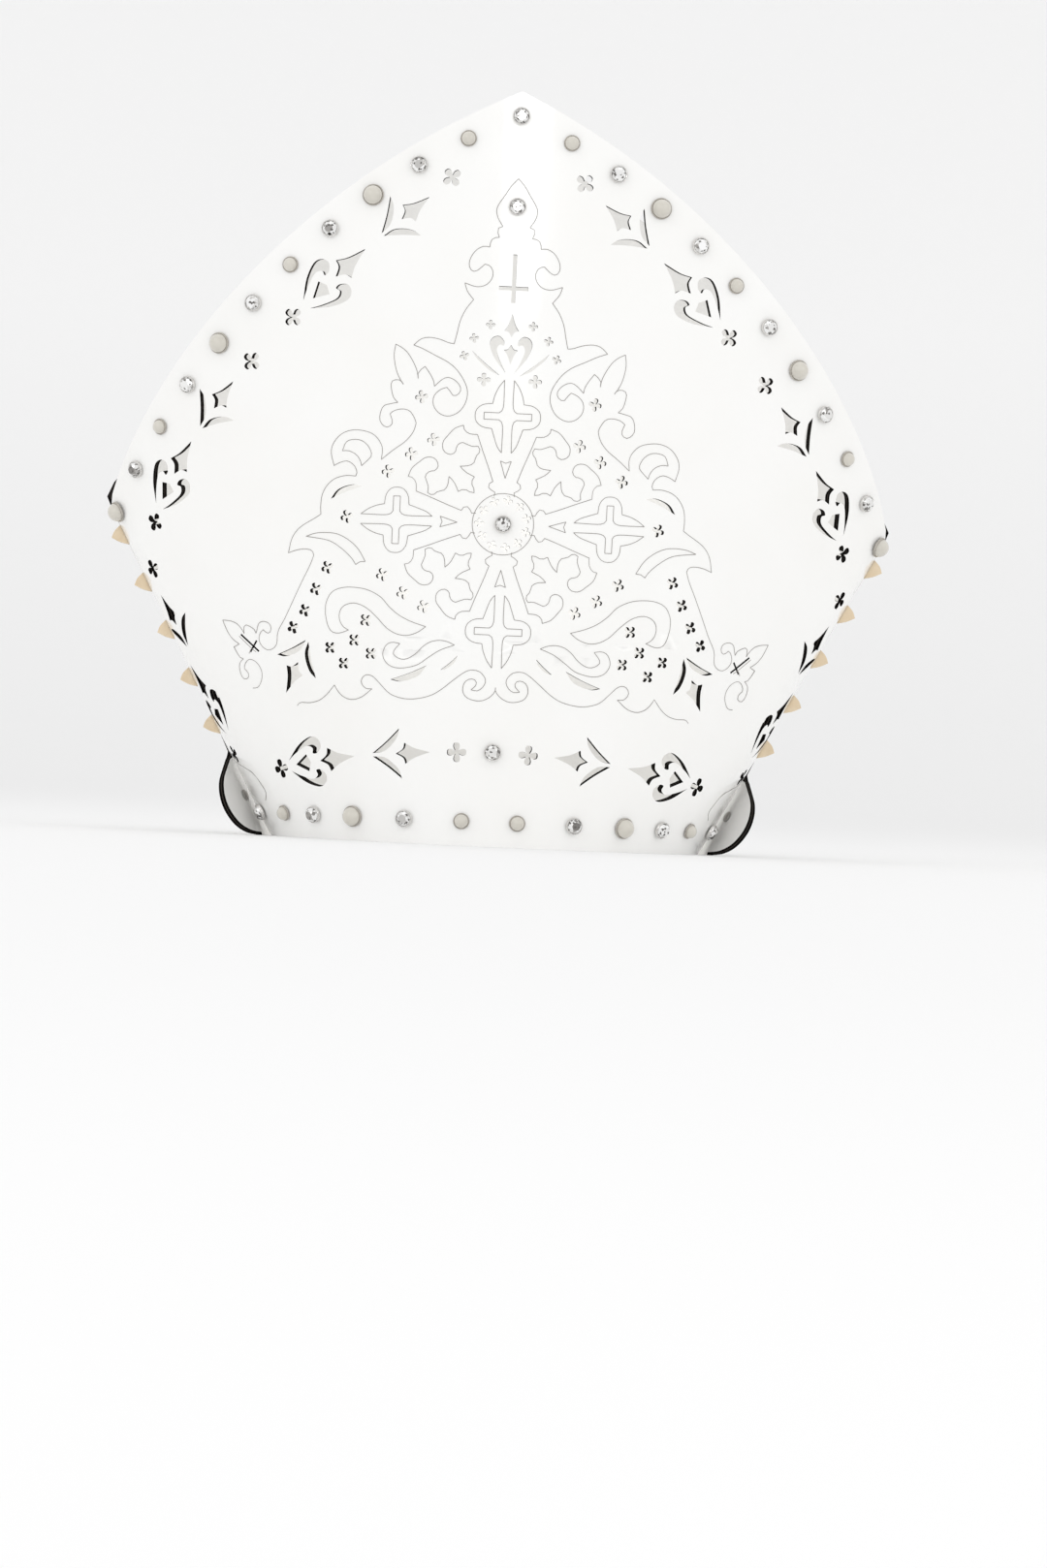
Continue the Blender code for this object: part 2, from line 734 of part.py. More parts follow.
def make_comb(side, material, collection):
    """The strip in a side seam with its row of pointed teeth, standing on the plane of the seam."""
    foot = bent("front", seam_across("front", SEAM_BOTTOM), SEAM_BOTTOM)
    head = bent("front", seam_across("front", SEAM_TOP), SEAM_TOP)
    run = Vector((head.x - foot.x, head.z - foot.z))
    length = run.length
    along = run / length
    outward = Vector((along.y, -along.x))
    slope = along.y
    profile = [(0.0, -LEATHER), (0.0, 0.0)]
    for index in range(TOOTH_COUNT):
        position = (TOOTH_FIRST_HEIGHT + index * TOOTH_PITCH - SEAM_BOTTOM) / slope
        profile += tooth(position)
    profile += [(length, 0.0), (length, -LEATHER)]
    outline = []
    for distance, reach in profile:
        spot = Vector((foot.x, foot.z)) + along * distance + outward * reach
        outline.append((side * spot.x, spot.y))
    name = "side_teeth_right" if side > 0.0 else "side_teeth_left"
    mesh = flat_mesh(name, [outline], COMB_THICKNESS)
    stand = Matrix.Translation((0.0, SEAM_PLANE, 0.0)) @ Matrix.Rotation(math.radians(90.0), 4, "X")
    mesh.transform(stand)
    return add_object(name, mesh, material, collection)


def turned_piece(name, profile, material, collection):
    """A round piece from a profile of radius and height that runs from its top to its foot."""
    mesh = bpy.data.meshes.new(name)
    points = [(radius, 0.0, height) for radius, height in profile]
    mesh.from_pydata(points, [(index, index + 1) for index in range(len(points) - 1)], [])
    piece = add_object(name, mesh, material, collection)
    screw = piece.modifiers.new("turn", "SCREW")
    screw.axis = "Z"
    screw.angle = math.radians(360.0)
    screw.steps = STUD_SIDES
    screw.render_steps = STUD_SIDES
    screw.use_merge_vertices = True
    screw.merge_threshold = 0.001 * MM
    return piece


def stand_on(piece, leaf, place, gap):
    """Seat a round piece on the outer face of a leaf."""
    across, height = place
    point = surface(leaf, across, height)
    normal = surface_normal(leaf, across, height)
    step = 0.2 * MM
    along = (surface(leaf, across + step, height) - surface(leaf, across - step, height)).normalized()
    upward = normal.cross(along)
    seat = placed(leaf, point + normal * gap)
    axes = [turned(leaf, axis) for axis in (along, upward, normal)]
    rotation = Matrix((axes[0], axes[1], axes[2])).transposed().to_4x4()
    piece.matrix_world = Matrix.Translation(seat) @ rotation


def crystal_profile():
    """A cut stone with a flat table, held in a round metal setting."""
    return (
        (0.0, CRYSTAL_HEIGHT),
        (0.50 * CRYSTAL_RADIUS, CRYSTAL_HEIGHT),
        (0.84 * CRYSTAL_RADIUS, 0.52 * CRYSTAL_HEIGHT),
        (CRYSTAL_RADIUS, 0.40 * CRYSTAL_HEIGHT),
        (CRYSTAL_RADIUS, 0.0),
        (0.0, 0.0),
    )


def pearl_profile(radius):
    """A half pearl that rises from a low metal rim."""
    dome = radius - PEARL_RIM_WIDTH
    return (
        (0.0, 0.92 * dome + 0.2 * radius),
        (0.50 * dome, 0.80 * dome + 0.2 * radius),
        (0.87 * dome, 0.48 * dome + 0.2 * radius),
        (dome, 0.22 * radius),
        (radius, 0.18 * radius),
        (radius, 0.0),
        (0.0, 0.0),
    )


def add_stud(name, kind, place, finishes, collection):
    """One stud on the front leaf."""
    if kind == "crystal":
        piece = turned_piece(name, crystal_profile(), finishes["crystal"], collection)
    else:
        radius = LARGE_PEARL_RADIUS if kind == "large_pearl" else SMALL_PEARL_RADIUS
        piece = turned_piece(name, pearl_profile(radius), finishes["pearl"], collection)
    stand_on(piece, "front", place, CLEARANCE)


def make_studs(finishes, collection):
    """The studs along the upper edges, along the rim and on the middle line."""
    start = (0.0, STUD_ROW_TOP * HEIGHT)
    end = (STUD_ROW_END * HALF_LEAF, CORNER_HEIGHT)
    for index in range(UPPER_STUD_COUNT):
        share = index / (UPPER_STUD_COUNT - 1)
        (across, height), _ = arc_row(start, end, STUD_ROW_ARCH, share, STUD_ROW_SKEW)
        kind = "crystal" if index % 2 == 0 else ("small_pearl" if index % 4 == 1 else "large_pearl")
        if index == 0:
            add_stud("crystal_top", kind, (0.0, height), finishes, collection)
            continue
        for side, label in ((-1.0, "left"), (1.0, "right")):
            name = f"{kind}_upper_{label}_{index:02d}"
            add_stud(name, kind, (side * across, height), finishes, collection)
    rim_reach = seam_across("front", RIM_STUD_HEIGHT)
    for index, (kind, share) in enumerate(RIM_STUDS):
        for side, label in ((-1.0, "left"), (1.0, "right")):
            name = f"{kind}_rim_{label}_{index + 1:02d}"
            add_stud(name, kind, (side * share * rim_reach, RIM_STUD_HEIGHT), finishes, collection)
    for name, up in CENTRE_CRYSTALS:
        add_stud(name, "crystal", (0.0, up * HEIGHT), finishes, collection)


def make_rivets(material, collection):
    """A rivet through each tab, with a flat head inside and outside."""
    head = RIVET_HEAD_RADIUS
    shank = RIVET_SHANK_RADIUS
    top = RIVET_HEAD_HEIGHT
    foot = -LEATHER - 2.0 * CLEARANCE
    profile = (
        (0.0, top),
        (0.7 * head, top),
        (head, 0.4 * top),
        (head, 0.0),
        (shank, 0.0),
        (shank, foot),
        (head, foot),
        (head, foot - 0.6 * top),
        (0.0, foot - 0.6 * top),
    )
    for side, label in ((-1.0, "left"), (1.0, "right")):
        piece = turned_piece(f"tab_rivet_{label}", profile, material, collection)
        stand_on(piece, "back", tab_place(side), CLEARANCE)


def main():
    """Build the mitre."""
    remove_everything()
    collection = make_collection("bishop_mitre")
    patent = make_material("white patent leather", (0.88, 0.88, 0.87), 0.18, 0.0)
    tan = make_material("tan leather", (0.80, 0.66, 0.48), 0.6, 0.0)
    nickel = make_material("nickel", (0.60, 0.60, 0.62), 0.3, 1.0)
    finishes = {
        "crystal": make_material("clear crystal", (0.85, 0.86, 0.88), 0.05, 0.2),
        "pearl": make_material("pearl", (0.84, 0.80, 0.75), 0.25, 0.0),
    }
    make_front_panel(patent, collection)
    make_back_panel(patent, collection)
    for side in (-1.0, 1.0):
        make_comb(side, tan, collection)
    make_rivets(nickel, collection)
    make_studs(finishes, collection)


main()
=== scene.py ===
# %% [markdown]
# # A bishop's mitre in pierced white patent leather
# The real hat is two tall leaves of stiff leather. They are joined along their sides by a strip
# with fan-shaped teeth. A laser cut the front leaf through in a border of arrows, fleurs and
# quatrefoils, and scored a fine scroll pattern round a rosette. Crystals and half pearls follow its edges.
# This lesson loads the plain CAD model and dresses it: smooth cuts, scored lines, stones and finishes.

import math
import random

import bpy
import numpy as np
from mathutils import Matrix, Vector


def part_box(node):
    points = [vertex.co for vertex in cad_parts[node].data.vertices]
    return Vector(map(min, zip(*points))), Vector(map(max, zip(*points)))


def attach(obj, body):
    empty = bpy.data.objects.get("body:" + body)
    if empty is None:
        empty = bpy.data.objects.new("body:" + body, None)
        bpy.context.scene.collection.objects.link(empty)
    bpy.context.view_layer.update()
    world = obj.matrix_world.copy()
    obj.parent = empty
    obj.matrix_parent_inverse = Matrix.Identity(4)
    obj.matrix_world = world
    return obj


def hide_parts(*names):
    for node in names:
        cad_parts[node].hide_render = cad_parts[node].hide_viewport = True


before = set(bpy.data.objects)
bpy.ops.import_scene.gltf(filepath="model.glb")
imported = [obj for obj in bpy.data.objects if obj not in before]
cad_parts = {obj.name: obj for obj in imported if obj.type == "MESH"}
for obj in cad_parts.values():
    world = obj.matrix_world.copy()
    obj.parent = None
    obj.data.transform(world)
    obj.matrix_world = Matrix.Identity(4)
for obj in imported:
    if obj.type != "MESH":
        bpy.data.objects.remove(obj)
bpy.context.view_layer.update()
MM = 0.001

# %% [markdown]
# ## The bent leaf
# Each leaf is drawn flat and then bent, as the real leather is. "Across" is measured round the leaf
# and "height" straight up. The plan at each height is a wide face arc, a tighter side arc and a short
# straight run. The functions take whole arrays, so that a leaf of many thousand points bends at once.

# %% Sizes of the leaves
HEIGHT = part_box("front_panel")[1].z
CORNER_HEIGHT = 127 * MM
RIM_HALF_WIDTH = 86.5 * MM
CORNER_HALF_WIDTH = 155 * MM
LEATHER = 2.6 * MM
FACE_RADIUS_RIM = 90 * MM
FACE_RADIUS_CORNER = 203 * MM
SIDE_RADIUS_RIM = 60 * MM
SIDE_RADIUS_CORNER = 17 * MM
LEAST_SIDE_RADIUS = 0.4 * SIDE_RADIUS_CORNER
WIDEST_SIDE_SHARE = 0.95
LEAST_RADIUS_GAP = 0.01 * MM
MOST_SINE = 0.9999
LEAN_END = 90 * MM
EDGE_BULGE = 18 * MM
EDGE_SKEW = -0.15
EDGE_INSET = 1 * MM
SEAM_TOP = 122 * MM
SEAM_BOTTOM = 33 * MM
CLEARANCE = 0.3 * MM
COMB_THICKNESS = 1.4 * MM
TAB_REACH = 21 * MM
TAB_FLARE = 13 * MM
TAB_ROOT = 15 * MM
TAB_FLARE_FADE = 4 * MM
TAB_RELIEF = 6 * MM
TAB_RELIEF_DROP = 5 * MM
LEAVES = {
    # turn, depth at the rim, depth at the crown
    "front": (1.0, 74.5 * MM, 77 * MM),
    "back": (-1.0, 104 * MM, 88 * MM),
}
SEAM_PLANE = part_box("back_panel")[1].y - LEAVES["back"][1]
print("seam plane at y =", round(SEAM_PLANE / MM, 2), "mm, height", round(HEIGHT / MM, 1), "mm")


# %% The plan and the surface of a leaf
def smooth_rise(start, end, height):
    """Share from 0 to 1 that fades in between two heights."""
    share = np.clip((height - start) / (end - start), 0.0, 1.0)
    return share * share * (3.0 - 2.0 * share)


def plan(leaf, height):
    """Half width, arc radii, depth, the angle where the arcs meet and the side arc's centre."""
    _, rim_depth, crown_depth = LEAVES[leaf]
    share = height / CORNER_HEIGHT
    face = FACE_RADIUS_RIM + (FACE_RADIUS_CORNER - FACE_RADIUS_RIM) * share
    half_width = np.minimum(RIM_HALF_WIDTH + (CORNER_HALF_WIDTH - RIM_HALF_WIDTH) * share, face)
    side = SIDE_RADIUS_RIM + (SIDE_RADIUS_CORNER - SIDE_RADIUS_RIM) * share
    side = np.minimum(np.maximum(side, LEAST_SIDE_RADIUS), WIDEST_SIDE_SHARE * half_width)
    depth = rim_depth + (crown_depth - rim_depth) * smooth_rise(0.0, LEAN_END, height)
    sine = (half_width - side) / np.maximum(face - side, LEAST_RADIUS_GAP)
    meet = np.arcsin(np.minimum(sine, MOST_SINE))
    centre = face - depth - (face - side) * np.cos(meet)
    return half_width, face, side, depth, meet, centre


def bent(leaf, across, height):
    """Points of the plain bent leaf's outer face."""
    across, height = np.broadcast_arrays(np.asarray(across, float), np.asarray(height, float))
    half_width, face, side, depth, meet, centre = plan(leaf, height)
    reach = np.abs(across)
    face_length = face * meet
    side_length = side * (math.pi / 2.0 - meet)
    on_face = reach <= face_length
    on_side = reach <= face_length + side_length
    angle = np.where(on_face, reach / face, meet + (reach - face_length) / side)
    side_x = np.where(on_side, half_width - side + side * np.sin(angle), half_width)
    side_y = np.where(on_side, centre - side * np.cos(angle), centre + reach - face_length - side_length)
    x = np.where(on_face, face * np.sin(angle), side_x)
    y = np.where(on_face, face - depth - face * np.cos(angle), side_y)
    return np.stack((np.copysign(x, across), y, height), axis=-1)


def seam_across(leaf, height):
    """How far across the leaf its seam lies."""
    _, face, side, depth, meet, centre = (float(value) for value in plan(leaf, np.float64(height)))
    on_face = math.acos(max(min((face - depth) / face, 1.0), -1.0))
    if on_face <= meet:
        return face * on_face
    if centre > 0.0:
        return face * meet + side * (math.acos(min(centre / side, 1.0)) - meet)
    return face * meet + side * (math.pi / 2.0 - meet) - centre


HALF_LEAF = seam_across("front", CORNER_HEIGHT)
SEAM_MARGIN = 10 * MM
SEAM_SAMPLES = 400
SEAM_HEIGHTS = np.linspace(-SEAM_MARGIN, HEIGHT + SEAM_MARGIN, SEAM_SAMPLES)
SEAM_TABLE = {leaf: [seam_across(leaf, height) for height in SEAM_HEIGHTS] for leaf in LEAVES}


def unit(vectors):
    """Vectors of length one."""
    return vectors / np.linalg.norm(vectors, axis=-1, keepdims=True)


def slopes(shape, leaf, across, height):
    """Direction across, rise for each metre of height, and outward normal of a surface function."""
    step = 0.1 * MM
    along = unit(shape(leaf, across + step, height) - shape(leaf, across - step, height))
    rise = (shape(leaf, across, height + step) - shape(leaf, across, height - step)) / (2.0 * step)
    return along, rise, unit(np.cross(along, rise))


def surface(leaf, across, height):
    """Outer face of a leaf, with the flare of the back leaf's lower corners."""
    across, height = np.broadcast_arrays(np.asarray(across, float), np.asarray(height, float))
    points = bent(leaf, across, height)
    if leaf == "front":
        return points
    normal = slopes(bent, leaf, across, height)[2]
    outward = unit(normal * np.array((1.0, 1.0, 0.0)))
    start = np.interp(height, SEAM_HEIGHTS, SEAM_TABLE[leaf]) - TAB_ROOT
    share = np.maximum((np.abs(across) - start) / (TAB_ROOT + TAB_REACH), 0.0)
    fade = 1.0 - smooth_rise(SEAM_BOTTOM - TAB_FLARE_FADE, SEAM_BOTTOM + 0.5 * TAB_FLARE_FADE, height)
    return points + outward * (TAB_FLARE * share * share * fade)[..., None]


def placed(leaf, points):
    """Points of a leaf in the mitre's frame; the back leaf is turned half round."""
    turn = LEAVES[leaf][0]
    return points * np.array((turn, turn, 1.0)) + np.array((0.0, SEAM_PLANE, 0.0))


print("half leaf is", round(HALF_LEAF / MM, 1), "mm across at the corner")

# %% [markdown]
# ## The cut motifs
# A laser follows smooth curves, so each cut is a short table of points with a smooth curve drawn
# through them. A corner flag keeps the tips sharp. The tables hold shares of the motif's width and
# length, and a motif is laid on the leaf by its centre and its turn, clockwise from straight up.

# %% Tables of the cuts
CURVE_STEPS = 5
SPEAR = (
    # across, along, corner
    (0.0, 1.0, True), (0.23, 0.55, False), (0.5, 0.27, True), (0.21, 0.21, False),
    (0.0, 0.0, True), (-0.21, 0.21, False), (-0.5, 0.27, True), (-0.23, 0.55, False),
)
CRESCENT = (
    # across, along, corner
    (0.0, 0.0, True), (0.85, 0.25, False), (1.0, 0.52, False), (0.72, 0.8, False),
    (0.0, 1.0, True), (0.12, 0.5, False),
)
COMMA = (
    # across, along, corner
    (0.10, 0.0, True), (0.37, 0.21, False), (0.50, 0.41, False), (0.44, 0.52, False),
    (0.29, 0.55, False), (0.17, 0.48, False), (0.17, 0.41, False), (0.27, 0.42, False),
    (0.33, 0.33, False), (0.22, 0.14, False),
)
KITE = (
    # across, along, corner
    (0.0, 0.11, True), (0.17, 0.30, True), (0.0, 0.35, True), (-0.17, 0.30, True),
)
FOIL_PETAL = (
    # angle from the petal's axis in degrees, radius as a share of the foil's size, corner
    (-45.0, 0.13, True), (-30.0, 0.34, False), (-13.0, 0.475, False),
    (13.0, 0.475, False), (30.0, 0.34, False),
)
FOIL_STEPS = 3
CROSS_ARM = -0.2


# %% Drawing a cut
def smooth(points, corners, closed=True, steps=CURVE_STEPS):
    """A curve through points, sharp at its corners."""
    points = [Vector(point) for point in points]
    count = len(points)
    made = []
    for index in range(count if closed else count - 1):
        following = (index + 1) % count
        start, end = points[index], points[following]
        if corners[index] and corners[following]:
            made.append(start)
            continue
        before = start * 2.0 - end if corners[index] else points[index - 1]
        after = end * 2.0 - start if corners[following] else points[(index + 2) % count]
        for step in range(steps):
            share = step / steps
            bend_in = (end - before) * 0.5
            bend_out = (after - start) * 0.5
            square, cube = share * share, share * share * share
            made.append(start * (2.0 * cube - 3.0 * square + 1.0) + bend_in * (cube - 2.0 * square + share)
                        + end * (3.0 * square - 2.0 * cube) + bend_out * (cube - square))
    if not closed:
        made.append(points[-1])
    return np.array([tuple(point) for point in made])


def drawn(table):
    """The smooth closed outline of one of the tables."""
    return smooth([row[:2] for row in table], [row[2] for row in table])


def flat_place(centre, offsets, turn):
    """Flat coordinates of a motif's points, so that the motif isn't stretched by the bend."""
    across, height = centre
    right = offsets[:, 0] * math.cos(turn) + offsets[:, 1] * math.sin(turn)
    up = offsets[:, 1] * math.cos(turn) - offsets[:, 0] * math.sin(turn)
    along, rise, normal = slopes(bent, "front", np.float64(across), np.float64(height))
    lift = up / rise.dot(np.cross(normal, along))
    return np.column_stack((across + right - rise.dot(along) * lift, height + lift))


def cut_outline(table, width, length, centre, turn, start=0.0, side=1.0):
    """A cut from a table, with its start at a distance along the motif's axis."""
    shares = drawn(table)
    offsets = np.column_stack((side * shares[:, 0] * width, start + shares[:, 1] * length))
    return flat_place(centre, offsets, turn)


def foil(centre, size, turn):
    """A quatrefoil of four petals with deep notches between them."""
    offsets, corners = [], []
    for petal in range(4):
        for angle, radius, corner in FOIL_PETAL:
            theta = math.radians(90.0 * petal + angle)
            offsets.append((size * radius * math.cos(theta), size * radius * math.sin(theta)))
            corners.append(corner)
    return [flat_place(centre, smooth(offsets, corners, steps=FOIL_STEPS), turn)]


def cross(centre, length, span, bar, turn):
    """A slot in the shape of an inverted cross, with its arm below the middle."""
    half_bar, half_span, half_length = 0.5 * bar, 0.5 * span, 0.5 * length
    arm = CROSS_ARM * length
    half = [
        (half_bar, -half_length), (half_bar, arm - half_bar), (half_span, arm - half_bar),
        (half_span, arm + half_bar), (half_bar, arm + half_bar), (half_bar, half_length),
    ]
    corners = half + [(-across, along) for across, along in reversed(half)]
    return [flat_place(centre, np.array(corners), turn)]


# %% Arrows and fleurs
ARROW_LENGTH = 23.5 * MM
ARROW_WIDTH = 18.4 * MM
FLEUR_LENGTH = 32 * MM
FLEUR_WIDTH = 20 * MM
LEG_ANGLE = math.radians(38.5)
# The numbers below are shares of an arrow's or a fleur's length and width.
LEG_LENGTH_SHARE = 0.63
LEG_BELLY_SHARE = 0.155
LEG_GAP_SHARE = 0.035
ARROW_HEAD_WIDTH = 0.45
ARROW_HEAD_LENGTH = 0.59
ARROW_HEAD_START = -0.09
FLEUR_HEAD_WIDTH = 0.47
FLEUR_HEAD_LENGTH = 0.50


def arrow(centre, turn):
    """A spear head in front of two crescent legs that meet at the tail."""
    cuts = [cut_outline(SPEAR, ARROW_HEAD_WIDTH * ARROW_WIDTH, ARROW_HEAD_LENGTH * ARROW_LENGTH,
                        centre, turn, ARROW_HEAD_START * ARROW_LENGTH)]
    shares = drawn(CRESCENT)
    run = shares[:, 1] * LEG_LENGTH_SHARE * ARROW_LENGTH
    swell = shares[:, 0] * LEG_BELLY_SHARE * ARROW_WIDTH
    out = LEG_GAP_SHARE * ARROW_WIDTH + run * math.sin(LEG_ANGLE) - swell * math.cos(LEG_ANGLE)
    forward = run * math.cos(LEG_ANGLE) + swell * math.sin(LEG_ANGLE) - 0.5 * ARROW_LENGTH
    for side in (-1.0, 1.0):
        cuts.append(flat_place(centre, np.column_stack((side * out, forward)), turn))
    return cuts


def fleur(centre, turn):
    """A spear head over two comma lobes with a small kite between them."""
    start = -0.5 * FLEUR_LENGTH
    cuts = [
        cut_outline(SPEAR, FLEUR_HEAD_WIDTH * FLEUR_WIDTH, FLEUR_HEAD_LENGTH * FLEUR_LENGTH, centre, turn),
        cut_outline(KITE, FLEUR_WIDTH, FLEUR_LENGTH, centre, turn, start),
    ]
    for side in (-1.0, 1.0):
        cuts.append(cut_outline(COMMA, FLEUR_WIDTH, FLEUR_LENGTH, centre, turn, start, side))
    return cuts


# %% [markdown]
# ## Where the cuts lie
# The border runs in three rows on each half: up along the free edge, up along the side and along the
# rim. The middle has chains of small quatrefoils, crescents and a fleur under an inverted cross.
# Everything is drawn on the right half and mirrored, as the laser's pattern was.

# %% Places of the motifs
BORDER_ROWS = (
    # start across, start up, end across, end up, arch, skew, motifs with their share of the row
    (0.8375, 0.4163, 0.1437, 0.8824, 7.5 * MM, 0.4,
     (("foil", 0.0), ("fleur", 0.118), ("arrow", 0.302), ("foil", 0.424),
      ("foil", 0.555), ("fleur", 0.680), ("arrow", 0.875), ("foil", 1.0))),
    (0.70, 0.108, 0.862, 0.354, 0.0, 0.0,
     (("foil", 0.0), ("fleur", 0.30), ("arrow", 0.72), ("foil", 1.0))),
    (0.509, 0.0915, 0.0774, 0.1234, 1.5 * MM, 0.0,
     (("foil", 0.0), ("fleur", 0.267), ("arrow", 0.718), ("foil", 1.0))),
)
SMALL_FOILS = (
    # across in mm, height in mm, size in mm, turn in degrees
    (34.0, 174.3, 5.3, 10), (28.5, 157.8, 5.3, 10), (37.0, 151.9, 5.3, 10), (46.0, 144.8, 5.3, 10),
    (62.0, 126.6, 5.3, 20), (69.4, 106.5, 5.3, 25), (74.0, 97.9, 5.3, 25), (78.6, 89.4, 5.3, 25),
    (83.8, 82.6, 5.3, 25), (46.6, 104.4, 5.3, 20), (38.1, 97.6, 5.3, 20), (29.6, 92.6, 5.3, 20),
    (52.6, 86.4, 5.3, 40), (57.0, 78.5, 5.3, 45), (67.2, 75.2, 5.2, 45), (50.0, 73.5, 5.2, 45),
    (61.2, 69.3, 5.2, 45), (10.0, 182.0, 5.4, 0), (8.3, 203.5, 3.8, 0), (14.5, 198.0, 3.8, 10),
    (18.0, 191.0, 3.8, 20),
)
CRESCENTS = (
    # across in mm, height in mm, turn in degrees, length in mm, width in mm
    (62.5, 136.0, -67.0, 13.6, 2.5),
    (34.5, 66.7, 113.0, 15.6, 2.8),
    (18.6, 71.1, 132.0, 8.6, 1.4),
    (9.5, 188.5, 50.7, 14.2, 1.2),
)
SIDE_ARROW = ((82.3 * MM, 67.2 * MM), math.radians(153.0))
# A cross is given by its centre, length, span, bar and turn, and a centre cut by its width, length,
# centre and turn.
SIDE_CROSS = ((104.5 * MM, 76 * MM), 10.8 * MM, 5.9 * MM, 0.8 * MM, math.radians(52.0))
CENTRE_CROSS = ((0.0, 221.8 * MM), 19 * MM, 11.5 * MM, 1.6 * MM, 0.0)
CENTRE_COMMA = (16.6 * MM, 26 * MM, (0.0, 185 * MM), 0.0)
UPPER_SPEAR = (5.6 * MM, 9 * MM, (0.0, 199 * MM), 0.0)
LOWER_SPEAR = (5.4 * MM, 7.8 * MM, (0.0, 196 * MM), math.pi)
ROSETTE_HEIGHT = 126 * MM
ROSETTE_RADIUS = 9.3 * MM
ROSETTE_FOILS = 11
ROSETTE_FOIL = 4.0 * MM
ROSETTE_TURN = math.radians(9.0)
BORDER_FOIL = 7.9 * MM


# %% All cuts of the front leaf
def arc_row(start, end, arch, share, skew=0.0):
    """Point and heading at a share of a shallow arc from start to end; a skew makes its start fuller."""
    first = Vector(start)
    chord = Vector(end) - first
    out = Vector((-chord.y, chord.x)).normalized()
    out = -out if out.y < 0.0 else out
    fuller = 1.0 + skew * (1.0 - 2.0 * share)
    point = first + chord * share + out * (arch * 4.0 * share * (1.0 - share) * fuller)
    heading = chord + out * (arch * 4.0 * (1.0 - 2.0 * share))
    return (point.x, point.y), math.atan2(heading.x, heading.y)


def half_cuts():
    """The cuts that are repeated left and right."""
    cuts = []
    for across0, up0, across1, up1, arch, skew, motifs in BORDER_ROWS:
        start = (across0 * HALF_LEAF, up0 * HEIGHT)
        end = (across1 * HALF_LEAF, up1 * HEIGHT)
        for kind, share in motifs:
            centre, heading = arc_row(start, end, arch, share, skew)
            if kind == "foil":
                cuts += foil(centre, BORDER_FOIL, heading)
            else:
                cuts += arrow(centre, heading) if kind == "arrow" else fleur(centre, heading)
    for across, height, size, turn in SMALL_FOILS:
        cuts += foil((across * MM, height * MM), size * MM, math.radians(turn))
    for across, height, turn, length, width in CRESCENTS:
        cuts.append(cut_outline(CRESCENT, width * MM, length * MM, (across * MM, height * MM),
                                math.radians(turn), -0.5 * length * MM))
    cuts += arrow(*SIDE_ARROW)
    cuts.append(cut_outline(COMMA, *CENTRE_COMMA))
    cuts += cross(*SIDE_CROSS)
    return cuts


def middle_cuts():
    """The cuts on the middle line, and the ring of foils round the rosette."""
    cuts = cross(*CENTRE_CROSS)
    cuts.append(cut_outline(SPEAR, *UPPER_SPEAR))
    cuts.append(cut_outline(SPEAR, *LOWER_SPEAR))
    for index in range(ROSETTE_FOILS):
        turn = ROSETTE_TURN + 2.0 * math.pi * index / ROSETTE_FOILS
        centre = (ROSETTE_RADIUS * math.sin(turn), ROSETTE_HEIGHT + ROSETTE_RADIUS * math.cos(turn))
        cuts += foil(centre, ROSETTE_FOIL, turn)
    return cuts


right_cuts = half_cuts()
CUTS = right_cuts + [cut * np.array((-1.0, 1.0)) for cut in right_cuts] + middle_cuts()
print("the front leaf has", len(CUTS), "cuts")

# %% [markdown]
# ## Outlines of the leaves
# Both leaves share the seam edge and the curved free edge that rises to the tip. The front leaf is
# cut back at its lower corner, where the back leaf's tab flares out past it.

# %% Half outlines
SEAM_LEVELS = 12
EDGE_STEPS = 56
EDGE_FIRST_STEP = 6
CORNER_ROUNDING = 7 * MM
RELIEF_ROUNDING = 8 * MM
ROUNDING_STEPS = 8
STEP_IN_SHARE = 0.4
STEP_DROP_SHARE = 0.3


def rounded(before, corner, after, radius):
    """A rounded corner of a flat outline."""
    corner = Vector(corner)
    first = (Vector(before) - corner).normalized()
    last = (Vector(after) - corner).normalized()
    reach = radius / math.tan(first.angle(last) / 2.0)
    start, end = corner + first * reach, corner + last * reach
    shares = [step / ROUNDING_STEPS for step in range(ROUNDING_STEPS + 1)]
    return [tuple(start.lerp(corner, share).lerp(corner.lerp(end, share), share)) for share in shares]


def seam_edge(leaf, height):
    """The leaf's side edge, held off the seam strip."""
    return seam_across(leaf, height) - 0.5 * COMB_THICKNESS - CLEARANCE


def across_at(leaf, x, height):
    """How far across a leaf a place lies that is x away from the middle plane."""
    half_width, face, side, _, meet, _ = (float(value) for value in plan(leaf, np.float64(height)))
    if x <= face * math.sin(meet):
        return face * math.asin(x / face)
    return face * meet + side * (math.asin(min((x - half_width + side) / side, 1.0)) - meet)


def upper_edge(leaf):
    """The curved free edge. The back leaf is cut so that the front leaf hides it from the front."""
    start = (seam_edge("front", CORNER_HEIGHT), CORNER_HEIGHT)
    points = [arc_row(start, (0.0, HEIGHT), EDGE_BULGE, step / EDGE_STEPS, EDGE_SKEW)[0]
              for step in range(EDGE_FIRST_STEP, EDGE_STEPS)]
    if leaf == "front":
        return points
    return [(across_at(leaf, float(bent("front", across, height)[0]) - EDGE_INSET, height), height)
            for across, height in points]


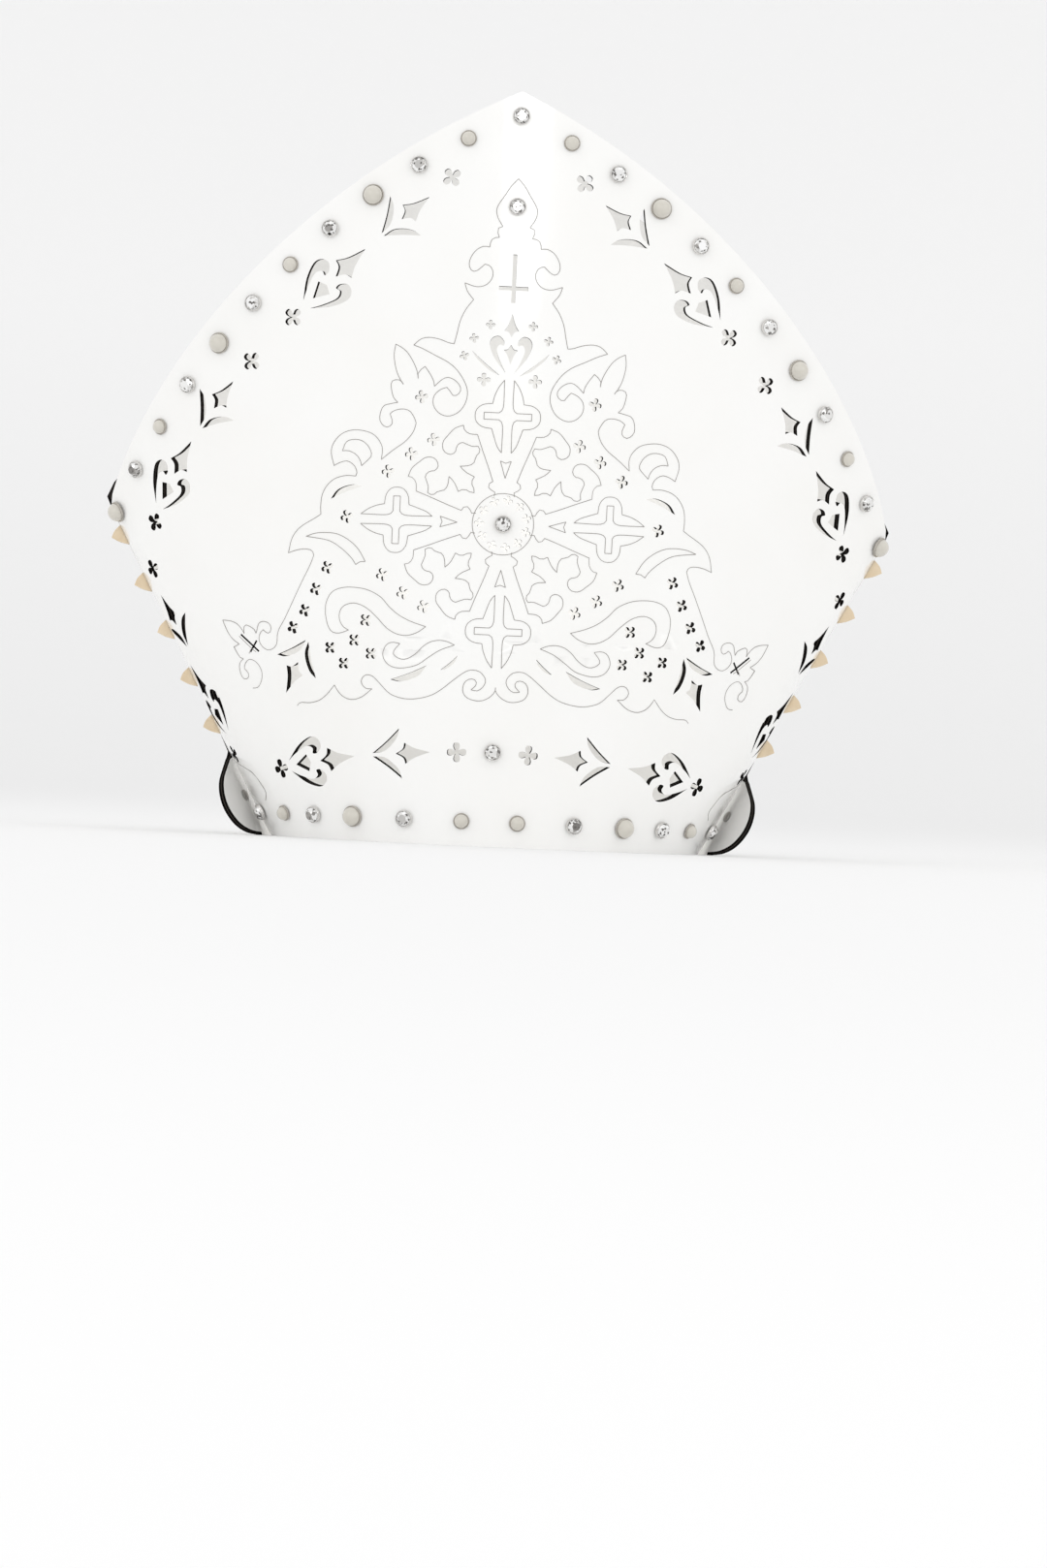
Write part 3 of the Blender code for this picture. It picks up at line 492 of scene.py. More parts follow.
def seam_and_top(leaf):
    """The seam edge, the rounded corner, the free upper edge and the tip."""
    heights = [SEAM_BOTTOM + (SEAM_TOP - SEAM_BOTTOM) * level / SEAM_LEVELS for level in range(SEAM_LEVELS)]
    points = [(seam_edge(leaf, height), height) for height in heights]
    corner = (seam_edge(leaf, CORNER_HEIGHT), CORNER_HEIGHT)
    edge = upper_edge(leaf)
    return points + rounded(points[-1], corner, edge[0], CORNER_ROUNDING) + edge + [(0.0, HEIGHT)]


def front_half():
    """Right half of the front leaf's outline."""
    relief_top = SEAM_BOTTOM - TAB_RELIEF_DROP
    rim_corner = (seam_across("front", 0.0) - TAB_RELIEF, 0.0)
    low_side = (seam_across("front", relief_top) - TAB_RELIEF, relief_top)
    step_in = (seam_edge("front", SEAM_BOTTOM) - STEP_IN_SHARE * TAB_RELIEF,
               SEAM_BOTTOM - STEP_DROP_SHARE * TAB_RELIEF_DROP)
    foot = rounded((0.0, 0.0), rim_corner, low_side, RELIEF_ROUNDING)
    return foot + [low_side, step_in] + seam_and_top("front")


TAB_SHAPE = (
    # reach past the seam as a share, height as a share of the seam's foot
    (0.35, 0.0), (0.70, 0.03), (0.92, 0.12), (1.0, 0.28), (0.94, 0.46), (0.76, 0.63), (0.45, 0.78),
    (0.06, 0.92),
)


def back_half():
    """Right half of the back leaf's outline, with the rounded tab at its lower corner."""
    points = []
    for reach, up in TAB_SHAPE:
        height = up * SEAM_BOTTOM
        points.append((seam_across("back", height) + reach * TAB_REACH, height))
    tab = smooth(points, [index in (0, len(points) - 1) for index in range(len(points))], closed=False)
    return [tuple(point) for point in tab] + seam_and_top("back")


def both_halves(half):
    """A closed outline from its right half, whose last point is on the middle."""
    return np.array(half + [(-across, height) for across, height in reversed(half[:-1])])


# %% [markdown]
# ## Finishes
# One function turns a hex colour into linear light and one adds a node. Patent leather is a pigmented
# film under a clear coat. Its back is a matt warm lining, and the laser leaves the cut walls nearly
# black, with a thin pale line where the two plies of leather meet.

# %% Helpers for finishes
def colour(code):
    """Linear colour of an sRGB hex code."""
    channels = [int(code[index:index + 2], 16) / 255.0 for index in (1, 3, 5)]
    linear = [c / 12.92 if c <= 0.04045 else ((c + 0.055) / 1.055) ** 2.4 for c in channels]
    return (*linear, 1.0)


def add(tree, kind, links=(), **values):
    """Add a node, set its properties or inputs by name, and link sockets into it."""
    node = tree.nodes.new(kind)
    for name, value in values.items():
        label = name.replace("_", " ")
        if hasattr(node, name):
            setattr(node, name, value)
        else:
            node.inputs[label].default_value = value
    for source, target in links:
        tree.links.new(source, node.inputs[target])
    return node


def new_finish(name, base, roughness, metallic=0.0):
    """A material with its Principled shader."""
    material = bpy.data.materials.new(name)
    material.use_nodes = True
    shader = material.node_tree.nodes["Principled BSDF"]
    shader.inputs["Base Color"].default_value = colour(base)
    shader.inputs["Roughness"].default_value = roughness
    shader.inputs["Metallic"].default_value = metallic
    return material, material.node_tree, shader


def noise(tree, size, detail):
    """A noise pattern with features of a real size, in metres."""
    place = add(tree, "ShaderNodeTexCoord")
    return add(tree, "ShaderNodeTexNoise", [(place.outputs["Object"], "Vector")],
               Scale=1.0 / size, Detail=detail)


def two_colours(tree, factor, first, second):
    """A mix of two colours by a factor."""
    mix = add(tree, "ShaderNodeMix", data_type="RGBA")
    tree.links.new(factor, mix.inputs[0])
    mix.inputs[6].default_value = colour(first)
    mix.inputs[7].default_value = colour(second)
    return mix.outputs[2]


def bump(tree, height, depth, below=None):
    """A bump of a real depth in metres, over another bump if one is given."""
    node = add(tree, "ShaderNodeBump", [(height, "Height")], Strength=1.0, Distance=depth)
    if below is not None:
        tree.links.new(below, node.inputs["Normal"])
    return node.outputs["Normal"]


def spread(tree, value, low, high):
    """A 0 to 1 value laid over a range."""
    node = add(tree, "ShaderNodeMapRange", [(value, "Value")], To_Min=low, To_Max=high)
    return node.outputs["Result"]


# %% Leather finishes
def patent_finish():
    """White patent leather: a clear glossy film over faintly pebbled, softly wavy leather."""
    material, tree, shader = new_finish("white_patent_film", "#FBFBFA", 0.2)
    wave = noise(tree, size=38 * MM, detail=1.0)
    pebble = noise(tree, size=1.1 * MM, detail=2.0)
    tint = two_colours(tree, wave.outputs["Fac"], "#FDFDFC", "#F9F8F5")
    tree.links.new(tint, shader.inputs["Base Color"])
    tree.links.new(spread(tree, wave.outputs["Fac"], low=0.12, high=0.24), shader.inputs["Roughness"])
    shader.inputs["Coat Weight"].default_value = 0.8
    shader.inputs["Coat Roughness"].default_value = 0.04
    low = bump(tree, wave.outputs["Fac"], depth=0.5 * MM)
    tree.links.new(bump(tree, pebble.outputs["Fac"], depth=0.012 * MM, below=low), shader.inputs["Normal"])
    return material


def lining_finish():
    """The matt warm grey flesh side of the leather."""
    material, tree, shader = new_finish("warm_grey_lining", "#DEDAD3", 0.62)
    cloud = noise(tree, size=24 * MM, detail=4.0)
    fibre = noise(tree, size=0.7 * MM, detail=5.0)
    tint = two_colours(tree, cloud.outputs["Fac"], "#E8E7E5", "#DBDAD7")
    tree.links.new(tint, shader.inputs["Base Color"])
    tree.links.new(spread(tree, fibre.outputs["Fac"], low=0.5, high=0.8), shader.inputs["Roughness"])
    tree.links.new(bump(tree, fibre.outputs["Fac"], depth=0.06 * MM), shader.inputs["Normal"])
    return material


def cut_edge_finish():
    """The scorched cut wall, with a paler line where the two plies meet."""
    material, tree, shader = new_finish("scorched_edge", "#0C0A09", 0.9)
    shader.inputs["Specular IOR Level"].default_value = 0.05
    layer = add(tree, "ShaderNodeAttribute", attribute_name="ply")
    ramp = add(tree, "ShaderNodeValToRGB", [(layer.outputs["Fac"], "Fac")])
    stops = ramp.color_ramp.elements
    stops[0].position = 0.0
    stops[0].color = colour("#0F0D0C")
    stops[1].position = 1.0
    stops[1].color = colour("#080707")
    for position, code in ((0.44, "#0B0A09"), (0.5, "#5A524B"), (0.56, "#0B0A09")):
        stops.new(position).color = colour(code)
    grain = noise(tree, size=0.5 * MM, detail=4.0)
    tree.links.new(ramp.outputs["Color"], shader.inputs["Base Color"])
    tree.links.new(spread(tree, grain.outputs["Fac"], low=0.85, high=1.0), shader.inputs["Roughness"])
    tree.links.new(bump(tree, grain.outputs["Fac"], depth=0.08 * MM), shader.inputs["Normal"])
    return material


LEATHER_FINISHES = (patent_finish(), lining_finish(), cut_edge_finish())
print("leather finishes:", [material.name for material in LEATHER_FINISHES])


# %% [markdown]
# ## Cutting and bending a leaf
# A flat outline with its holes is a filled 2D curve, which is converted to a mesh. In edit mode it is
# bisected along many lines, so that it can follow the bend, and the fill's own edges are dissolved.
# Then every point moves to its place on the curved plan. The normals are set from the surface itself,
# because a mirror-like film shows the smallest facet.

# %% Making the two leaves
FACE_CREASE = 5 * MM
SIDE_CREASE = 2.5 * MM
FACE_SPAN = 112 * MM
LEVEL_CREASE = 9 * MM
WELD = 0.001 * MM
ON_THE_LINE = 0.002 * MM
LEVEL_ANGLE = math.radians(0.5)
FACES_UP = 0.9


def deselect():
    """Nothing is selected or active."""
    for item in bpy.context.selected_objects:
        item.select_set(False)
    bpy.context.view_layer.objects.active = None


def edit(piece):
    """Open a piece in edit mode with all of it selected."""
    deselect()
    piece.select_set(True)
    bpy.context.view_layer.objects.active = piece
    bpy.ops.object.mode_set(mode="EDIT")
    bpy.ops.mesh.select_all(action="SELECT")


def close():
    """Back to object mode."""
    bpy.ops.object.mode_set(mode="OBJECT")


def filled_outline(name, outlines, thickness):
    """A flat plate with holes from a filled 2D curve."""
    curve = bpy.data.curves.new(name, "CURVE")
    curve.dimensions = "2D"
    curve.fill_mode = "BOTH"
    curve.extrude = 0.5 * thickness
    for outline in outlines:
        spline = curve.splines.new("POLY")
        spline.points.add(len(outline) - 1)
        for point, (x, y) in zip(spline.points, outline):
            point.co = (x, y, 0.0, 1.0)
        spline.use_cyclic_u = True
    piece = bpy.data.objects.new(name, curve)
    bpy.context.scene.collection.objects.link(piece)
    deselect()
    piece.select_set(True)
    bpy.context.view_layer.objects.active = piece
    bpy.ops.object.convert(target="MESH")
    piece = bpy.context.view_layer.objects.active
    edit(piece)
    bpy.ops.mesh.remove_doubles(threshold=WELD)
    close()
    return piece


def crease(piece, widest):
    """Bisect a flat leaf along upright and level lines, and dissolve the fill's own edges."""
    lines = [0.0]
    while lines[-1] < widest:
        lines.append(lines[-1] + (FACE_CREASE if lines[-1] < FACE_SPAN else SIDE_CREASE))
    cuts = [((side * line, 0.0, 0.0), (1.0, 0.0, 0.0)) for line in lines[:-1] for side in (-1.0, 1.0)]
    levels = int(HEIGHT / LEVEL_CREASE)
    cuts += [((0.0, HEIGHT * (level + 0.5) / levels, 0.0), (0.0, 1.0, 0.0)) for level in range(levels)]
    edit(piece)
    # The first two lines are both the middle one, so one of them is left out.
    for place, direction in cuts[1:]:
        bpy.ops.mesh.select_all(action="SELECT")
        bpy.ops.mesh.bisect(plane_co=place, plane_no=direction, threshold=ON_THE_LINE)
        bpy.ops.mesh.mark_seam()
    bpy.ops.mesh.select_all(action="SELECT")
    bpy.ops.mesh.dissolve_limited(angle_limit=LEVEL_ANGLE, delimit={"SEAM"})
    bpy.ops.mesh.quads_convert_to_tris(quad_method="BEAUTY", ngon_method="BEAUTY")
    bpy.ops.mesh.mark_seam(clear=True)
    close()


def bend(piece, leaf):
    """Lay the flat leaf on its curved plan and give it its finishes and normals."""
    mesh = piece.data
    flat = np.empty(len(mesh.vertices) * 3)
    mesh.vertices.foreach_get("co", flat)
    flat = flat.reshape(-1, 3)
    facing = np.empty(len(mesh.polygons) * 3)
    mesh.polygons.foreach_get("normal", facing)
    facing = facing.reshape(-1, 3)[:, 2]
    kind = np.where(facing > FACES_UP, 0, np.where(facing < -FACES_UP, 1, 2))
    across, height = flat[:, 0], flat[:, 1]
    outer = flat[:, 2] > 0.0
    normal = slopes(surface, leaf, across, height)[2]
    points = surface(leaf, across, height) - normal * np.where(outer, 0.0, LEATHER)[:, None]
    points[height < WELD, 2] = 0.0
    mesh.vertices.foreach_set("co", placed(leaf, points).ravel())
    mesh.update()
    ply = mesh.attributes.new("ply", "FLOAT", "POINT")
    ply.data.foreach_set("value", outer.astype(np.float32))
    mesh.materials.clear()
    for material in LEATHER_FINISHES:
        mesh.materials.append(material)
    mesh.polygons.foreach_set("material_index", kind.astype(np.int32))
    mesh.polygons.foreach_set("use_smooth", np.ones(len(mesh.polygons), bool))
    turned = normal * np.array((LEAVES[leaf][0], LEAVES[leaf][0], 1.0))
    loop_vertex = np.empty(len(mesh.loops), np.int32)
    mesh.loops.foreach_get("vertex_index", loop_vertex)
    loop_kind = np.repeat(kind, 3)
    own = np.empty(len(mesh.polygons) * 3)
    mesh.polygons.foreach_get("normal", own)
    wall = np.repeat(own.reshape(-1, 3), 3, axis=0)
    sign = np.where(loop_kind == 0, 1.0, -1.0)[:, None]
    normals = np.where((loop_kind == 2)[:, None], wall, turned[loop_vertex] * sign)
    mesh.normals_split_custom_set(normals.tolist())
    print(piece.name, "has", len(mesh.polygons), "triangles")


front_leaf = filled_outline("pierced_front_leaf", [both_halves(front_half())] + CUTS, LEATHER)
crease(front_leaf, seam_across("front", CORNER_HEIGHT))
bend(front_leaf, "front")
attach(front_leaf, "root")
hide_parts("front_panel")

# %% The back leaf, with a hole for each tab's rivet
RIVET_HEIGHT = 14.5 * MM
RIVET_FORWARD = 7 * MM
RIVET_SHANK = 1.2 * MM


def rivet_place(side):
    """Flat place of a tab's rivet; the back leaf is turned, so sides swap."""
    return -side * (seam_across("back", RIVET_HEIGHT) + RIVET_FORWARD), RIVET_HEIGHT


def round_hole(centre, radius, sides=24):
    """A round hole in a flat leaf."""
    angles = np.arange(sides) * 2.0 * math.pi / sides
    return np.column_stack((centre[0] + radius * np.cos(angles), centre[1] + radius * np.sin(angles)))


rivet_holes = [round_hole(rivet_place(side), RIVET_SHANK + CLEARANCE) for side in (-1.0, 1.0)]
back_leaf = filled_outline("plain_back_leaf", [both_halves(back_half())] + rivet_holes, LEATHER)
crease(back_leaf, seam_across("back", 0.0) + TAB_REACH)
bend(back_leaf, "back")
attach(back_leaf, "root")
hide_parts("back_panel")

# %% [markdown]
# ## Teeth of the side seams
# The strip pressed into each seam ends in fan-shaped teeth of natural tan leather, each with its tip
# towards the top. It is drawn as a flat outline again, so that a smooth curve rounds the sides of
# each tooth, and it is stood upright in the plane of the seams.

# %% Seam strips
TOOTH_COUNT = 5
TOOTH_PITCH = 18.6 * MM
TOOTH_FIRST_HEIGHT = 43.6 * MM
TOOTH_BASE = 8.6 * MM
TOOTH_REACH = 5.2 * MM
TOOTH = (
    # along the seam, reach, corner
    (-0.5, 0.0, True), (-0.2, 0.57, False), (0.145, 1.0, True), (0.37, 0.58, False), (0.5, 0.0, True),
)


def tan_finish():
    """Natural tan leather with a fine grain."""
    material, tree, shader = new_finish("natural_tan_leather", "#EBD8BA", 0.55)
    cloud = noise(tree, size=6 * MM, detail=3.0)
    grain = noise(tree, size=0.6 * MM, detail=4.0)
    tint = two_colours(tree, cloud.outputs["Fac"], "#F2E2C8", "#DDC49E")
    tree.links.new(tint, shader.inputs["Base Color"])
    tree.links.new(bump(tree, grain.outputs["Fac"], depth=0.05 * MM), shader.inputs["Normal"])
    return material


TAN = tan_finish()


def seam_strip(side, label):
    """One seam's strip with its row of teeth."""
    foot = bent("front", seam_across("front", SEAM_BOTTOM), SEAM_BOTTOM)
    head = bent("front", seam_across("front", SEAM_TOP), SEAM_TOP)
    start = np.array((foot[0], foot[2]))
    run = np.array((head[0], head[2])) - start
    length = float(np.linalg.norm(run))
    along = run / length
    outward = np.array((along[1], -along[0]))
    profile = [(0.0, -LEATHER), (0.0, 0.0)]
    tooth = smooth([row[:2] for row in TOOTH], [row[2] for row in TOOTH], closed=False)
    for index in range(TOOTH_COUNT):
        position = (TOOTH_FIRST_HEIGHT + index * TOOTH_PITCH - SEAM_BOTTOM) / along[1]
        profile += [(position + x * TOOTH_BASE, y * TOOTH_REACH) for x, y in tooth]
    profile += [(length, 0.0), (length, -LEATHER)]
    outline = [start + along * distance + outward * reach for distance, reach in profile]
    strip = filled_outline(f"seam_strip_{label}", [[(side * x, y) for x, y in outline]], COMB_THICKNESS)
    mesh = strip.data
    mesh.materials.clear()
    mesh.materials.append(TAN)
    mesh.materials.append(LEATHER_FINISHES[2])
    for face in mesh.polygons:
        face.material_index = 0 if abs(face.normal.z) > FACES_UP else 1
    stand = Matrix.Translation((0.0, SEAM_PLANE, 0.0)) @ Matrix.Rotation(math.radians(90.0), 4, "X")
    mesh.transform(stand)
    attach(strip, "root")
    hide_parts(f"side_teeth_{label}")
    return strip


for side, label in ((-1.0, "left"), (1.0, "right")):
    print(seam_strip(side, label).name, "made")

# %% [markdown]
# ## Turned settings, pearls and rivets
# A round piece starts as a disc. In edit mode it is extruded up and scaled again and again, which
# walks round its profile. A crystal's stone is the convex hull of its rings of corners: a round
# girdle, eight corners above it and an eight-sided table, which gives the flat facets of a cut stone.

# %% Stacking a round piece
ROUND_SIDES = 28
SMOOTH_ANGLE = math.radians(35.0)
POLE_ANGLE = math.radians(88.0)


def disc(name, radius, height, sides=ROUND_SIDES):
    """A new filled disc, open in edit mode with its face selected."""
    deselect()
    bpy.ops.mesh.primitive_circle_add(vertices=sides, radius=radius, fill_type="NGON",
                                      location=(0, 0, height))
    piece = bpy.context.view_layer.objects.active
    piece.name = name
    bpy.ops.object.transform_apply(location=True, rotation=True, scale=True)
    edit(piece)
    return piece


def stacked(name, profile):
    """A closed round piece from rows of radius and height, from its foot to its top."""
    radius, height = profile[0]
    piece = disc(name, radius, height)
    for next_radius, next_height in profile[1:]:
        bpy.ops.mesh.extrude_region_move(TRANSFORM_OT_translate={"value": (0.0, 0.0, next_height - height)})
        share = next_radius / radius
        bpy.ops.transform.resize(value=(share, share, 1.0), center_override=(0.0, 0.0, next_height))
        radius, height = next_radius, next_height
    bpy.ops.mesh.select_all(action="SELECT")
    bpy.ops.mesh.normals_make_consistent(inside=False)
    close()
    bpy.ops.object.shade_smooth_by_angle(angle=SMOOTH_ANGLE)
    return piece


def arc_profile(radius, rise, foot, steps):
    """Rows of a dome from its foot almost to its pole."""
    rows = []
    for step in range(steps):
        angle = POLE_ANGLE * step / (steps - 1)
        rows.append((radius * math.cos(angle), foot + rise * math.sin(angle)))
    return rows


def join(pieces, name):
    """Several pieces as one mesh."""
    deselect()
    for piece in pieces:
        piece.select_set(True)
    bpy.context.view_layer.objects.active = pieces[0]
    bpy.ops.object.join()
    joined = bpy.context.view_layer.objects.active
    joined.name = name
    return joined


# %% Finishes of the studs
def metal_finish(name, first, second, roughness):
    """A plated metal with soft tarnish and fine scratches."""
    material, tree, shader = new_finish(name, first, roughness, 1.0)
    tarnish = noise(tree, size=1.6 * MM, detail=3.0)
    scratch = noise(tree, size=0.25 * MM, detail=2.0)
    tree.links.new(two_colours(tree, tarnish.outputs["Fac"], first, second), shader.inputs["Base Color"])
    tree.links.new(spread(tree, scratch.outputs["Fac"], low=roughness - 0.08, high=roughness + 0.12),
                   shader.inputs["Roughness"])
    return material


def pearl_finish():
    """Cream pearl: soft lustre under a thin clear layer."""
    material, tree, shader = new_finish("cream_pearl", "#E6E2D9", 0.28)
    cloud = noise(tree, size=4 * MM, detail=2.0)
    tree.links.new(two_colours(tree, cloud.outputs["Fac"], "#DAD6CC", "#CBC6BB"), shader.inputs["Base Color"])
    shader.inputs["Coat Weight"].default_value = 1.0
    shader.inputs["Coat Roughness"].default_value = 0.03
    return material


# The stone is painted with reflection chips this wide, and this share of them is a painted dark reflection.
FLECK = 0.75 * MM
DARK_REFLECTION_SHARE = 0.16


def stone_finish():
    """Foil-backed crystal with painted reflections: each face of the stone is painted a random tone from dark
    grey to white, and chips of it a painted dark reflection; its clear coat and part metal add real
    reflections over them.
    """
    material, tree, shader = new_finish("foiled_crystal", "#F0F0F1", 0.05, 0.55)
    # Painted reflection: the random tone of each face of the stone, from dark grey to white, stands in for
    # the room that it mirrors.
    painted_reflection_tone = add(tree, "ShaderNodeAttribute", attribute_name="painted_reflection_tone")
    ramp = add(tree, "ShaderNodeValToRGB", [(painted_reflection_tone.outputs["Fac"], "Fac")])
    stops = ramp.color_ramp.elements
    stops[0].position = 0.0
    stops[0].color = colour("#4E4B48")
    stops[1].position = 1.0
    stops[1].color = colour("#FFFFFF")
    for position, code in ((0.14, "#A5A29E"), (0.3, "#E2E1DF"), (0.6, "#F8F8F7")):
        stops.new(position).color = colour(code)
    # Painted reflection: dark chips over the faces stand in for dark things mirrored in the stone.
    place = add(tree, "ShaderNodeTexCoord")
    chips = add(tree, "ShaderNodeTexVoronoi", [(place.outputs["Object"], "Vector")], Scale=1.0 / FLECK)
    tone = add(tree, "ShaderNodeSeparateColor", [(chips.outputs["Color"], "Color")])
    dark = add(tree, "ShaderNodeMath", [(tone.outputs["Red"], 0)], operation="LESS_THAN")
    dark.inputs[1].default_value = DARK_REFLECTION_SHARE
    painted_reflections = two_colours(tree, dark.outputs["Value"], "#FFFFFF", "#5E5A57")
    tree.links.new(ramp.outputs["Color"], painted_reflections.node.inputs[6])
    tree.links.new(painted_reflections, shader.inputs["Base Color"])
    shader.inputs["Coat Weight"].default_value = 1.0
    shader.inputs["Coat Roughness"].default_value = 0.01
    return material


SETTING = metal_finish("silver_setting", "#E6E5E3", "#CDCAC6", roughness=0.22)
PEARL_SETTING = metal_finish("grey_silver_rim", "#C9C4BC", "#A7A29A", roughness=0.3)
NICKEL = metal_finish("nickel_rivet", "#C4C2BF", "#9E9B97", roughness=0.35)
PEARL = pearl_finish()
STONE = stone_finish()

# %% Crystal, pearls and rivet, made once each at the origin
CRYSTAL_RADIUS = 3.4 * MM
CRYSTAL_HEIGHT = 3.0 * MM
PEARL_RADII = {"small_pearl": 3.2 * MM, "large_pearl": 4.2 * MM}
PEARL_RIM = 0.5 * MM
RIVET_HEAD = 2.3 * MM
RIVET_RISE = 0.8 * MM
CUP_PROFILE = (
    # share of the crystal's radius, share of its height
    (0.94, 0.0), (1.0, 0.06), (1.0, 0.38), (0.95, 0.47), (0.88, 0.46), (0.84, 0.34),
)
STONE_RINGS = (
    # share of the crystal's radius, share of its height, corners, first angle in degrees
    (0.85, 0.30, 16, 0.0), (0.86, 0.44, 16, 0.0), (0.72, 0.78, 8, 22.5), (0.50, 1.0, 8, 0.0),
)
PEARL_RIM_PROFILE = (
    # shares of the pearl's radius: out and up
    (0.95, 0.0), (1.0, 0.05), (1.0, 0.13), (0.97, 0.2), (0.92, 0.22), (0.88, 0.18),
)


def with_finish(piece, material):
    """Give a whole piece one finish."""
    piece.data.materials.clear()
    piece.data.materials.append(material)
    return piece


def crystal_model():
    """A cut stone in a round metal cup with a turned-in lip."""
    radius, height = CRYSTAL_RADIUS, CRYSTAL_HEIGHT
    cup = stacked("cup", [(ring * radius, rise * height) for ring, rise in CUP_PROFILE])
    ring, rise, corners, _ = STONE_RINGS[0]
    stone = disc("stone", ring * radius, rise * height, corners)
    for ring, rise, corners, first in STONE_RINGS[1:]:
        bpy.ops.mesh.select_all(action="DESELECT")
        bpy.ops.mesh.primitive_circle_add(vertices=corners, radius=ring * radius,
                                          location=(0, 0, rise * height),
                                          rotation=(0, 0, math.radians(first)))
    bpy.ops.mesh.select_all(action="SELECT")
    bpy.ops.mesh.convex_hull()
    bpy.ops.mesh.dissolve_limited(angle_limit=math.radians(2.0))
    close()
    with_finish(cup, SETTING)
    with_finish(stone, STONE)
    return join([cup, stone], "crystal_model")


def pearl_model(kind):
    """A half pearl that rises from a low rounded rim."""
    radius = PEARL_RADII[kind]
    dome = radius - PEARL_RIM
    rim = stacked("rim", [(out * radius, up * radius) for out, up in PEARL_RIM_PROFILE])
    rows = [(0.97 * dome, 0.1 * radius)] + arc_profile(dome, 0.92 * dome, 0.2 * radius, 12)
    pearl = stacked("pearl", rows)
    with_finish(rim, PEARL_SETTING)
    with_finish(pearl, PEARL)
    return join([rim, pearl], kind + "_model")


def rivet_model():
    """A low domed rivet with its shank and its head on the inside."""
    foot = -LEATHER - 2.0 * CLEARANCE
    rows = [(0.8 * RIVET_HEAD, foot - 0.6 * RIVET_RISE), (RIVET_HEAD, foot - 0.3 * RIVET_RISE),
            (RIVET_HEAD, foot), (RIVET_SHANK, foot), (RIVET_SHANK, 0.0), (RIVET_HEAD, 0.0)]
    rows += arc_profile(RIVET_HEAD, 0.9 * RIVET_RISE, 0.1 * RIVET_RISE, 7)
    return with_finish(stacked("rivet_model", rows), NICKEL)


MODELS = {"crystal": crystal_model(), "rivet": rivet_model()}
for kind in PEARL_RADII:
    MODELS[kind] = pearl_model(kind)
print("models:", sorted(MODELS))


# %% [markdown]
# ## Seating the studs
# Every stud stands square on the leather. Its seat is the place on the bent leaf, and its axes are
# the leaf's own directions there. Each copy has its own mesh, and each crystal is turned by its own
# seeded angle with its own random painted reflection tones, so no two stones sparkle alike.

# %% Placing copies
random.seed(7)


def seat(leaf, place):
    """Matrix that stands a piece on the outer face of a leaf."""
    across, height = np.float64(place[0]), np.float64(place[1])
    along, _, normal = slopes(surface, leaf, across, height)
    turn = np.array((LEAVES[leaf][0], LEAVES[leaf][0], 1.0))
    spot = placed(leaf, surface(leaf, across, height) + normal * CLEARANCE)
    axes = [Vector(axis * turn) for axis in (along, np.cross(normal, along), normal)]
    return Matrix.Translation(Vector(spot)) @ Matrix(axes).transposed().to_4x4()


def set_piece(model, name, node, leaf, place):
    """A copy of a model, seated on a leaf in place of its CAD node."""
    mesh = MODELS[model].data.copy()
    mesh.name = name
    spin = Matrix.Rotation(random.uniform(0.0, 2.0 * math.pi), 4, "Z")
    mesh.transform(seat(leaf, place) @ spin)
    # Each face gets a random painted reflection tone, which only the crystal's stone finish reads.
    painted_reflection_tone = mesh.attributes.new("painted_reflection_tone", "FLOAT", "FACE")
    painted_reflection_tone.data.foreach_set("value", [random.random() for _ in mesh.polygons])
    piece = bpy.data.objects.new(name, mesh)
    bpy.context.scene.collection.objects.link(piece)
    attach(piece, "root")
    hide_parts(node)
    return piece


UPPER_STUD_COUNT = 12
STUD_ROW_TOP = 0.967
STUD_ROW_END = 0.957
STUD_ROW_ARCH = 14.5 * MM
STUD_ROW_SKEW = 0.45
RIM_STUDS = (
    # kind, across as a share of the way to the seam
    ("small_pearl", 0.084), ("crystal", 0.260), ("large_pearl", 0.434), ("crystal", 0.584),
    ("small_pearl", 0.724), ("crystal", 0.887),
)
RIM_STUD_HEIGHT = 9.6 * MM
MIDDLE_CRYSTALS = (("top", STUD_ROW_TOP), ("finial", 0.847), ("rosette", 0.427), ("border", 0.125))
row_start = (0.0, STUD_ROW_TOP * HEIGHT)
row_end = (STUD_ROW_END * HALF_LEAF, CORNER_HEIGHT)
rim_reach = seam_across("front", RIM_STUD_HEIGHT)
for name, up in MIDDLE_CRYSTALS:
    set_piece("crystal", f"set_crystal_{name}", f"crystal_{name}", "front", (0.0, up * HEIGHT))
for side, label in ((-1.0, "left"), (1.0, "right")):
    for index in range(1, UPPER_STUD_COUNT):
        share = index / (UPPER_STUD_COUNT - 1)
        spot, _ = arc_row(row_start, row_end, STUD_ROW_ARCH, share, STUD_ROW_SKEW)
        kind = "crystal" if index % 2 == 0 else ("small_pearl" if index % 4 == 1 else "large_pearl")
        node = f"{kind}_upper_{label}_{index:02d}"
        set_piece(kind, "set_" + node, node, "front", (side * spot[0], spot[1]))
    for index, (kind, share) in enumerate(RIM_STUDS):
        node = f"{kind}_rim_{label}_{index + 1:02d}"
        place = (side * share * rim_reach, RIM_STUD_HEIGHT)
        set_piece(kind, "set_" + node, node, "front", place)
    set_piece("rivet", f"domed_rivet_{label}", f"tab_rivet_{label}", "back", rivet_place(side))
for model in MODELS.values():
    bpy.data.objects.remove(model, do_unlink=True)
